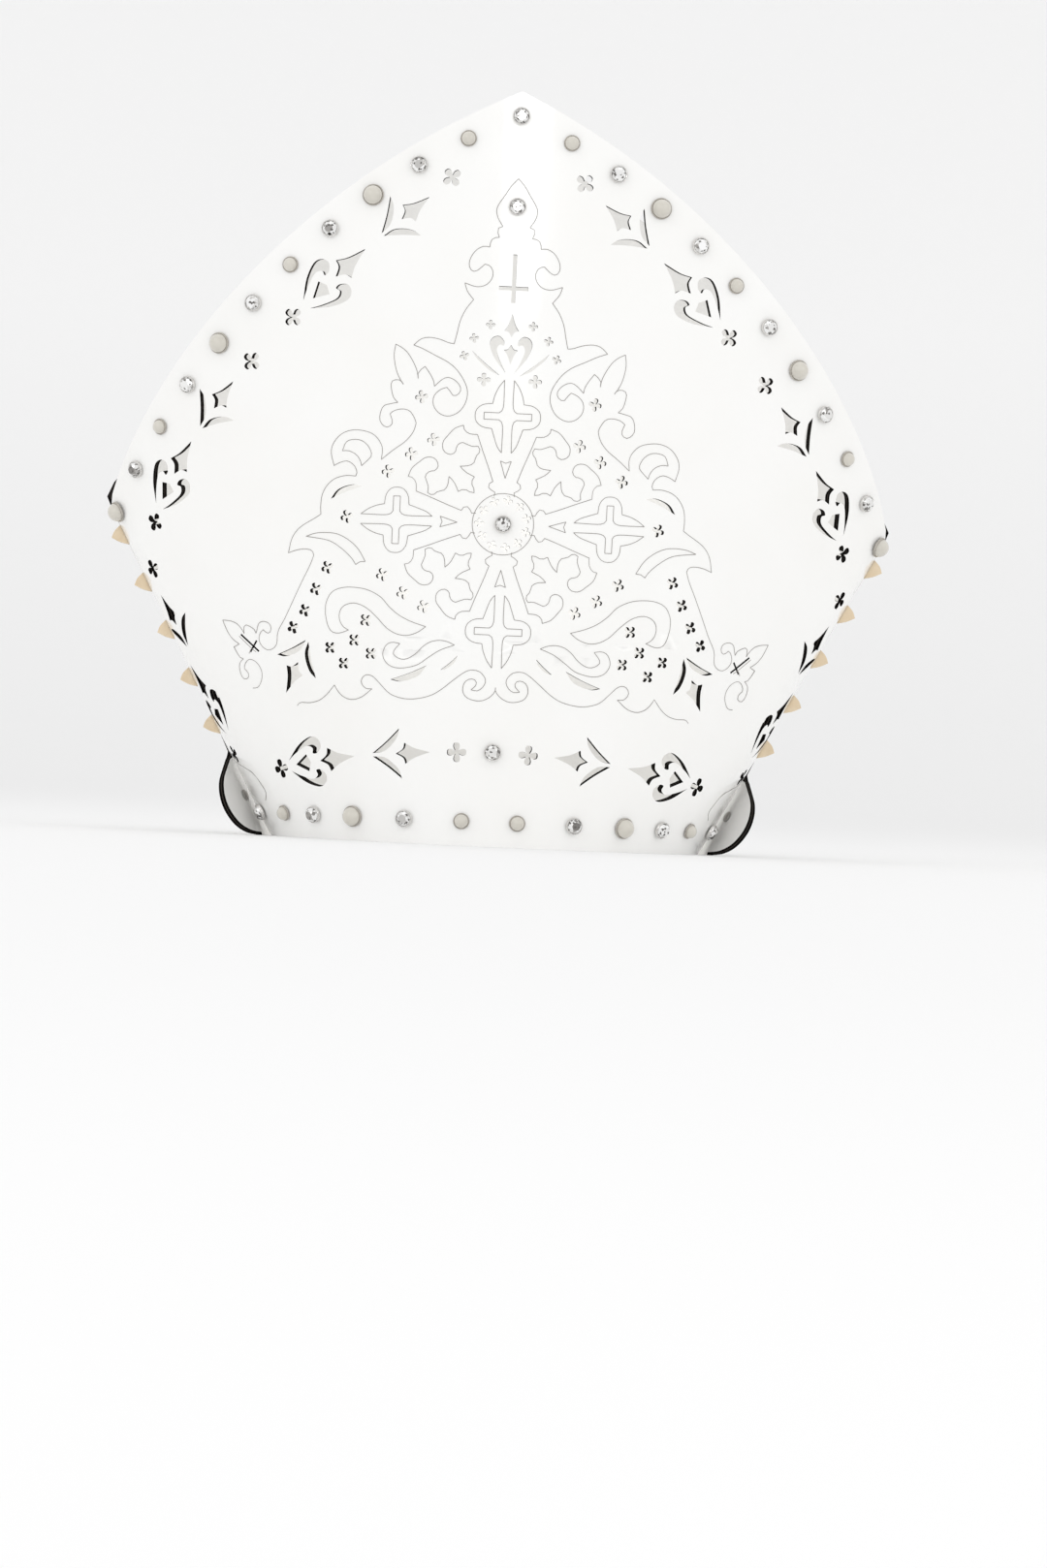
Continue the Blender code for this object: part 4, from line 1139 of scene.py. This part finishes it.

# %% [markdown]
# ## Scored lines
# The scroll pattern between the cuts is scored with the laser at low power: grey lines about 0.3 mm
# wide. Each stroke is a short list of given places, in millimetres from the middle line and
# above the rosette's centre, with a smooth curve through them. A line is a curve with a thin bevel,
# half sunk in the leather, and it stops where it meets a cut.

# %% Strokes of the right half
PETAL = (
    # side, along the petal's axis from its middle
    ((1.9, 14.2), (4.0, 11.3), (5.5, 7.8), (6.1, 4.9)),
    ((6.1, 4.9), (9.7, 4.4), (12.2, 2.5), (12.8, 0.0), (12.2, -2.5), (9.7, -4.4), (6.1, -4.9)),
    ((6.1, -4.9), (4.9, -8.5), (3.6, -12.0), (1.9, -14.2)),
    ((1.9, -14.2), (1.9, -3.7), (3.5, -1.35)),
    ((3.5, -1.35), (9.3, -1.35)), ((9.3, -1.35), (9.3, 1.35)), ((9.3, 1.35), (3.5, 1.35)),
    ((3.5, 1.35), (1.9, 3.7), (1.9, 14.2)),
)
PETAL_DISTANCE = 42.0
QUADRANT_HALF = (
    ((3.9, 10.8), (3.8, 12.5), (5.9, 13.5), (6.3, 15.2), (4.7, 16.5)),
    ((4.7, 16.5), (6.7, 22.0), (9.3, 28.6), (11.5, 34.5)),
    ((11.5, 34.5), (14.7, 34.7), (16.7, 36.2), (17.1, 37.9)),
    ((17.1, 37.9), (20.4, 36.6), (23.1, 33.6), (24.8, 31.2), (24.8, 28.4), (23.3, 26.7), (21.0, 26.4),
     (19.5, 28.1), (19.5, 29.5), (17.6, 31.2), (15.6, 30.6), (13.3, 29.8), (11.1, 30.0)),
    ((11.1, 30.0), (10.2, 28.0), (11.7, 26.0), (12.4, 23.4), (14.6, 22.2), (17.7, 21.9)),
    ((17.7, 21.9), (15.6, 19.8), (12.0, 18.0)),
    ((12.0, 18.0), (13.0, 15.7), (11.9, 13.2), (11.8, 11.8)),
)
SMALL_V = (((-2.1, 24.6), (0.0, 23.8), (2.1, 24.6)), ((-2.1, 24.6), (0.0, 17.9)), ((2.1, 24.6), (0.0, 17.9)))
FINIAL = (
    ((0.0, 134.9), (2.6, 132.0), (4.8, 128.5), (7.2, 124.7), (8.0, 122.3), (7.4, 119.4), (5.3, 116.0)),
    ((5.3, 116.0), (6.9, 115.4), (7.2, 113.8), (6.5, 111.7)),
    ((6.5, 111.7), (8.5, 111.4), (9.7, 110.1), (10.0, 107.8)),
    ((10.0, 107.8), (12.6, 107.9), (15.4, 106.2), (17.4, 103.0), (17.7, 100.1), (16.4, 98.1), (14.4, 98.5),
     (11.6, 101.0)),
    ((11.6, 101.0), (9.6, 100.4), (8.3, 98.0), (8.8, 95.2), (11.1, 92.8), (14.6, 92.1), (19.1, 93.4)),
    ((19.1, 93.4), (18.0, 90.2), (15.4, 87.0)),
    ((15.4, 87.0), (18.2, 83.2), (20.2, 78.7), (21.2, 74.0), (22.2, 69.5)),
)
PALMETTE = (
    ((91.0, -46.5), (91.3, -49.9), (92.7, -51.7), (95.0, -52.6), (97.0, -52.2), (99.1, -50.5), (99.9, -48.2),
     (99.0, -45.7), (97.7, -44.7)),
    ((97.7, -44.7), (96.9, -45.4), (95.5, -46.0), (94.4, -45.5), (94.0, -43.9), (94.8, -42.2), (97.5, -41.4),
     (99.8, -42.2), (100.7, -44.6), (101.3, -46.2)),
    ((101.3, -46.2), (102.1, -44.7)),
    ((102.1, -44.7), (104.4, -43.5), (106.6, -43.0), (107.4, -44.5), (107.2, -46.5)),
    ((107.2, -46.5), (108.0, -45.2), (110.5, -42.8), (114.0, -41.6), (118.1, -41.3)),
    ((118.1, -41.3), (117.3, -43.1), (115.7, -46.1), (113.2, -48.8), (110.1, -50.6)),
    ((110.1, -50.6), (111.7, -51.0), (113.0, -51.8)),
    ((113.0, -51.8), (111.7, -53.8), (110.1, -55.8), (108.3, -56.3)),
    ((108.3, -56.3), (110.2, -57.8), (110.8, -59.8), (110.2, -62.5), (109.0, -64.1), (107.6, -64.3),
     (106.1, -63.5), (106.0, -62.2), (107.0, -61.0)),
    ((107.0, -61.0), (108.1, -60.2), (107.7, -58.5), (106.0, -56.8), (104.0, -56.5), (101.2, -57.9),
     (99.3, -60.5), (99.0, -63.2), (100.1, -65.9), (101.8, -67.5), (104.2, -67.7)),
    ((109.9, -47.5), (104.1, -51.9), (101.6, -53.5)),
    ((102.3, -49.5), (105.2, -54.2)),
)
OUTER = (
    ((22.2, 69.5), (24.4, 69.8), (27.8, 71.0), (31.8, 71.6), (35.2, 70.9), (38.0, 68.4)),
    ((38.0, 68.4), (34.4, 67.1), (29.2, 64.6), (24.6, 62.4), (21.0, 59.7), (18.3, 56.2), (16.5, 52.6),
     (16.2, 48.9), (17.5, 45.1), (19.9, 42.5), (23.2, 41.2), (26.4, 41.9), (28.7, 44.1), (29.5, 46.5),
     (29.0, 49.2), (26.8, 51.4), (24.3, 52.4)),
    ((24.3, 52.4), (22.9, 50.9), (21.6, 49.2), (19.7, 49.9), (18.8, 51.9), (19.9, 54.1), (22.0, 55.7),
     (24.3, 56.3), (26.5, 55.2), (29.2, 52.6)),
    ((29.2, 52.6), (29.6, 54.7), (31.1, 57.4), (33.2, 60.2)),
    ((33.2, 60.2), (35.4, 58.3), (35.9, 57.0), (35.7, 55.4)),
    ((35.7, 55.4), (36.2, 58.1), (37.5, 61.1), (40.0, 65.0), (42.4, 67.1), (45.1, 68.5)),
    ((45.1, 68.5), (45.6, 64.7), (45.2, 61.3), (44.1, 57.4), (42.3, 54.1), (41.4, 52.9)),
    ((41.4, 52.9), (42.6, 54.4), (44.7, 54.6), (46.2, 53.6), (46.1, 51.1), (45.1, 47.7), (43.3, 45.8)),
    ((43.3, 45.8), (46.1, 45.2), (48.9, 44.2), (50.1, 41.3), (50.1, 38.5), (48.7, 36.6), (47.0, 36.0),
     (45.4, 37.0), (45.2, 38.7), (46.2, 41.2)),
    ((46.2, 41.2), (44.5, 42.6), (41.2, 43.3), (38.3, 42.5), (36.1, 39.2), (35.8, 37.5), (37.0, 34.0),
     (39.9, 30.5), (44.3, 27.2), (48.9, 23.3)),
    ((48.9, 23.3), (48.6, 27.3), (49.6, 30.0), (52.0, 32.7), (55.4, 34.1), (60.5, 34.5), (65.0, 33.0),
     (68.2, 29.6), (69.3, 25.6), (67.9, 20.3)),
    ((67.9, 20.3), (65.6, 21.6), (62.5, 22.3), (59.8, 20.7), (58.5, 18.3), (58.9, 16.5)),
    ((58.9, 16.5), (63.0, 16.6), (67.5, 15.2), (70.7, 12.3), (72.5, 8.5), (72.9, 4.0), (72.7, 1.2)),
    ((72.7, 1.2), (75.0, -0.3), (81.4, -4.2), (84.7, -8.4), (86.2, -14.3)),
    ((86.2, -14.3), (82.7, -13.1), (79.2, -12.6), (76.2, -13.0), (75.2, -14.8)),
    ((75.2, -14.8), (76.6, -18.6), (80.0, -25.2), (83.8, -32.8), (87.4, -39.8), (90.2, -44.2), (91.0, -46.5)),
    ((82.0, -74.0), (80.3, -72.7), (76.1, -72.7), (72.0, -71.7), (68.6, -69.4), (65.0, -65.4)),
    ((65.0, -65.4), (63.4, -67.8), (60.9, -69.9), (57.3, -70.8), (53.2, -69.6), (49.0, -66.3)),
    ((49.0, -66.3), (51.6, -66.2), (53.5, -64.3), (53.3, -62.3), (51.6, -60.9), (48.9, -61.4), (45.8, -64.2),
     (42.1, -67.6), (38.5, -69.1), (34.3, -69.7), (29.6, -69.2), (25.0, -67.8), (21.0, -65.3), (17.0, -61.9),
     (13.1, -58.8), (10.2, -57.4), (6.6, -57.8), (4.1, -60.6), (4.6, -63.3), (6.8, -65.3), (9.5, -65.1)),
    ((9.5, -65.1), (7.5, -62.9), (8.2, -61.1), (10.3, -60.9), (12.3, -62.5), (12.7, -65.8), (10.8, -68.3),
     (6.6, -69.3), (3.1, -68.3), (0.3, -65.7), (0.0, -63.7)),
)
INNER = (
    ((64.7, 26.2), (63.4, 29.6), (60.9, 30.7), (57.5, 30.6), (54.6, 28.7), (53.0, 25.8), (53.2, 24.1),
     (56.7, 20.6)),
    ((56.7, 20.6), (57.4, 22.8), (59.2, 25.0), (62.1, 26.3), (64.7, 26.2)),
    ((78.7, -7.6), (74.8, -6.3), (70.0, -5.9), (65.3, -6.4), (60.5, -8.7), (56.7, -12.0), (53.7, -16.7)),
    ((53.7, -16.7), (55.9, -16.9), (57.6, -18.0)),
    ((57.6, -18.0), (59.5, -15.4), (63.8, -11.8), (69.3, -8.9), (78.7, -7.6)),
    ((69.6, -37.7), (69.5, -33.6), (67.4, -29.4), (63.6, -27.4), (58.4, -26.9), (52.4, -27.7), (46.9, -30.3),
     (43.2, -34.1), (38.9, -37.3), (34.1, -39.5), (28.4, -41.2)),
    ((28.4, -41.2), (31.5, -43.5), (35.6, -44.9), (39.8, -44.5), (44.0, -42.3), (47.7, -38.7), (52.0, -35.1),
     (55.7, -33.4), (59.2, -33.2), (62.4, -34.7), (63.7, -37.4), (63.3, -40.4), (61.7, -42.6), (59.6, -43.7)),
    ((59.6, -43.7), (63.4, -45.0), (66.6, -44.6), (68.5, -42.0), (69.6, -37.7)),
    ((38.4, -48.2), (41.4, -47.8), (43.7, -48.8), (45.0, -51.3), (44.9, -53.8), (43.0, -56.4), (39.7, -57.7),
     (35.6, -57.5), (30.9, -56.1), (26.9, -53.2), (22.3, -50.1), (16.8, -47.9)),
    ((16.8, -47.9), (19.6, -46.7), (23.1, -46.3), (26.6, -47.2), (29.5, -49.3), (31.7, -51.7), (34.6, -53.7),
     (37.2, -54.3), (39.9, -53.3), (40.9, -51.5), (38.4, -48.2)),
)
LOWER_CORNER = (
    ((129.0, -97.0), (113.0, -101.0), (107.0, -106.0), (105.0, -109.0), (107.0, -112.0)),
)


# %% Drawing the lines on the leaf
LINE_RADIUS = 0.14 * MM
CIRCLE_STEPS = 24
LINE_STEP = 1.2 * MM
ROSETTE_LINE_RADIUS = 12.0


def quarter_turned(strokes, quarters, distance=0.0):
    """Strokes moved up by a distance and turned about the rosette by quarter turns."""
    angle = math.pi / 2.0 * quarters
    made = []
    for stroke in strokes:
        made.append([
            (x * math.cos(angle) + (y + distance) * math.sin(angle),
             (y + distance) * math.cos(angle) - x * math.sin(angle))
            for x, y in stroke
        ])
    return made


def rosette_strokes():
    """Circle, petals, small darts and corner leaves round the rosette."""
    angles = [2.0 * math.pi * step / CIRCLE_STEPS for step in range(CIRCLE_STEPS + 1)]
    circle = [[(ROSETTE_LINE_RADIUS * math.sin(angle), ROSETTE_LINE_RADIUS * math.cos(angle))
               for angle in angles]]
    leaf = list(QUADRANT_HALF) + [[(y, x) for x, y in stroke] for stroke in QUADRANT_HALF]
    petal = list(PETAL) + [[(-x, y) for x, y in stroke] for stroke in PETAL]
    strokes = list(circle)
    for quarters in range(4):
        strokes += quarter_turned(leaf, quarters)
        strokes += quarter_turned(petal, quarters, PETAL_DISTANCE)
        strokes += quarter_turned(SMALL_V, quarters)
    return strokes


def inside(points, outline):
    """Which points lie inside a closed outline, by counting the edges that each one looks across."""
    x, y = points[:, 0][:, None], points[:, 1][:, None]
    start, end = outline, np.roll(outline, -1, axis=0)
    crosses = (start[:, 1] > y) != (end[:, 1] > y)
    rise = np.where(end[:, 1] == start[:, 1], 1.0, end[:, 1] - start[:, 1])
    at = start[:, 0] + (end[:, 0] - start[:, 0]) * (y - start[:, 1]) / rise
    return (np.count_nonzero(crosses & (x < at), axis=1) % 2) == 1


def scored_runs(strokes):
    """Smooth runs of places on the leaf, cut where they would cross an opening."""
    runs = []
    for stroke in strokes:
        corners = [index in (0, len(stroke) - 1) for index in range(len(stroke))]
        line = smooth(stroke, corners, closed=False) * MM + np.array((0.0, ROSETTE_HEIGHT))
        length = np.concatenate(([0.0], np.cumsum(np.linalg.norm(np.diff(line, axis=0), axis=1))))
        count = max(int(length[-1] / LINE_STEP), 2)
        at = np.linspace(0.0, length[-1], count)
        line = np.column_stack([np.interp(at, length, line[:, axis]) for axis in (0, 1)])
        cut = np.zeros(count, bool)
        for outline in CUTS:
            low, high = outline.min(axis=0), outline.max(axis=0)
            if (line.max(axis=0) > low).all() and (line.min(axis=0) < high).all():
                cut |= inside(line, outline)
        breaks = [-1] + list(np.flatnonzero(cut)) + [count]
        runs += [line[start + 1:end] for start, end in zip(breaks, breaks[1:]) if end - start > 2]
    return runs


half = list(FINIAL) + list(OUTER) + list(PALMETTE) + list(INNER) + list(LOWER_CORNER)
strokes = half + [[(-x, y) for x, y in stroke] for stroke in half] + rosette_strokes()
runs = scored_runs(strokes)
lines = bpy.data.curves.new("scored_lines", "CURVE")
lines.dimensions = "3D"
lines.bevel_depth = LINE_RADIUS
lines.bevel_resolution = 0
for run in runs:
    spline = lines.splines.new("POLY")
    spline.points.add(len(run) - 1)
    spots = placed("front", surface("front", run[:, 0], run[:, 1]))
    for point, spot in zip(spline.points, spots):
        point.co = (*spot, 1.0)
scored = bpy.data.objects.new("scored_lines", lines)
bpy.context.scene.collection.objects.link(scored)
deselect()
scored.select_set(True)
bpy.context.view_layer.objects.active = scored
bpy.ops.object.convert(target="MESH")
scored = bpy.context.view_layer.objects.active


def scored_finish():
    """The dull grey of a shallow laser score."""
    material, tree, shader = new_finish("laser_score", "#B9B5B0", 0.6)
    patch = noise(tree, size=5 * MM, detail=2.0)
    tree.links.new(two_colours(tree, patch.outputs["Fac"], "#A9A5A1", "#8F8B86"), shader.inputs["Base Color"])
    return material


with_finish(scored, scored_finish())
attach(scored, "root")
print("scored lines:", len(runs), "runs,", len(scored.data.polygons), "faces")

# %% [markdown]
# ## Studio
# The hat was photographed on a nearly white ground in very soft light. A paper floor that curves up
# to a wall, a bright even world and three large softboxes keep the white leather bright, and leave the
# cuts dark. A small softbox in front puts a highlight on each pearl. In the photograph light reaches
# the hollow from below. Here the hat stands on a floor, so a small lamp in its hollow, which the
# camera doesn't see, stands in for that light.

# %% Floor, world and lights
FLOOR_SIZE = 8.0
FLOOR_SHIFT = -0.4
FLOOR_BACK = 3.0
SWEEP_RADIUS = 1.6
SWEEP_STEPS = 16
WALL_RISE = 2.4
# Height over which the painted light on the wall fades in.
PAINTED_WALL_LIGHT_RISE = 0.6
LIT_PLACE = (0.0, 0.0, 0.15)
SOFTBOXES = (
    # name, place, size in metres, power in watts
    ("left_softbox", (-1.3, -1.6, 1.3), 1.2, 3.0),
    ("right_softbox", (1.5, -1.3, 0.9), 1.0, 2.0),
    ("top_softbox", (0.0, 0.1, 1.6), 1.2, 1.5),
    ("front_softbox", (0.1, -2.5, 0.55), 0.3, 1.0),
)
WORLD_STRENGTH = 0.93
HOLLOW_LAMP_RADIUS = 0.03
HOLLOW_LAMP_HEIGHT = 0.12
HOLLOW_LAMP_POWER = 0.14


def stage_sweep():
    """A wide paper floor that curves up to a wall far behind the hat, with painted light that makes the wall
    lighter than the floor.
    """
    deselect()
    bpy.ops.mesh.primitive_plane_add(size=FLOOR_SIZE, location=(0.0, FLOOR_SHIFT, 0.0))
    floor = bpy.context.view_layer.objects.active
    floor.name = "studio_floor"
    bpy.ops.object.transform_apply(location=True, rotation=True, scale=True)
    edit(floor)
    bpy.ops.mesh.select_all(action="DESELECT")
    close()
    for edge in floor.data.edges:
        edge.select = all(floor.data.vertices[index].co.y > FLOOR_BACK for index in edge.vertices)
    bpy.ops.object.mode_set(mode="EDIT")
    bpy.ops.mesh.select_mode(type="EDGE")
    angles = [math.pi / 2.0 * step / SWEEP_STEPS for step in range(SWEEP_STEPS + 1)]
    for angle, following in zip(angles, angles[1:]):
        move = (0.0, SWEEP_RADIUS * (math.sin(following) - math.sin(angle)),
                SWEEP_RADIUS * (math.cos(angle) - math.cos(following)))
        bpy.ops.mesh.extrude_region_move(TRANSFORM_OT_translate={"value": move})
    bpy.ops.mesh.extrude_region_move(TRANSFORM_OT_translate={"value": (0.0, 0.0, WALL_RISE)})
    bpy.ops.mesh.select_mode(type="VERT")
    close()
    bpy.ops.object.shade_smooth()
    material, tree, shader = new_finish("studio_paper", "#F4F4F4", 0.9)
    # Painted light: the paper is painted lighter up the wall, to make up for the light that the floor keeps
    # from it.
    place = add(tree, "ShaderNodeTexCoord")
    apart = add(tree, "ShaderNodeSeparateXYZ", [(place.outputs["Object"], "Vector")])
    painted_wall_light = add(tree, "ShaderNodeMapRange", [(apart.outputs["Z"], "Value")], From_Max=PAINTED_WALL_LIGHT_RISE)
    tint = two_colours(tree, painted_wall_light.outputs["Result"], "#F4F4F4", "#FCFCFC")
    tree.links.new(tint, shader.inputs["Base Color"])
    paper = noise(tree, size=2 * MM, detail=3.0)
    tree.links.new(spread(tree, paper.outputs["Fac"], low=0.85, high=0.95), shader.inputs["Roughness"])
    with_finish(floor, material)


def softbox(name, place, size, power):
    """A soft square light that faces the hat."""
    deselect()
    bpy.ops.object.light_add(type="AREA", location=place)
    lamp = bpy.context.view_layer.objects.active
    lamp.name = name
    lamp.data.size = size
    lamp.data.energy = power
    lamp.rotation_euler = (Vector(LIT_PLACE) - Vector(place)).to_track_quat("-Z", "Y").to_euler()


stage_sweep()
world = bpy.data.worlds.new("studio_air")
world.use_nodes = True
world.node_tree.nodes["Background"].inputs["Color"].default_value = colour("#FFFFFF")
world.node_tree.nodes["Background"].inputs["Strength"].default_value = WORLD_STRENGTH
bpy.context.scene.world = world
for name, place, size, power in SOFTBOXES:
    softbox(name, place, size, power)
deselect()
bpy.ops.object.light_add(type="POINT", radius=HOLLOW_LAMP_RADIUS,
                         location=(0.0, SEAM_PLANE, HOLLOW_LAMP_HEIGHT))
glow = bpy.context.view_layer.objects.active
glow.name = "light_through_the_head_opening"
glow.data.energy = HOLLOW_LAMP_POWER
glow.visible_camera = False

# %% [markdown]
# ## Camera
# A long lens from 2.4 m, a little left of the middle and low down. The photograph looks up at the rim
# from below. The floor allows only a level view, so the camera stands 25 mm above it. It is rolled a
# little, as the hat leans in the picture.

# %% Camera, colour and finish
FOCAL_LENGTH = 136.1
CAMERA_PLACE = Vector((-0.050, -2.400, 0.025))
CAMERA_AIM = Vector((0.0147, -0.012, 0.0252))
CAMERA_ROLL = 0.0456
deselect()
bpy.ops.object.camera_add(location=CAMERA_PLACE)
camera = bpy.context.view_layer.objects.active
camera.data.lens = FOCAL_LENGTH
camera.data.sensor_width = 36.0
camera.data.clip_start = 0.05
camera.data.clip_end = 50.0
camera.data.dof.use_dof = False
camera.rotation_euler = ((CAMERA_AIM - CAMERA_PLACE).to_track_quat("-Z", "Y")
                         @ Matrix.Rotation(CAMERA_ROLL, 3, "Z").to_quaternion()).to_euler()
bpy.context.scene.camera = camera
bpy.context.scene.view_settings.view_transform = "Standard"
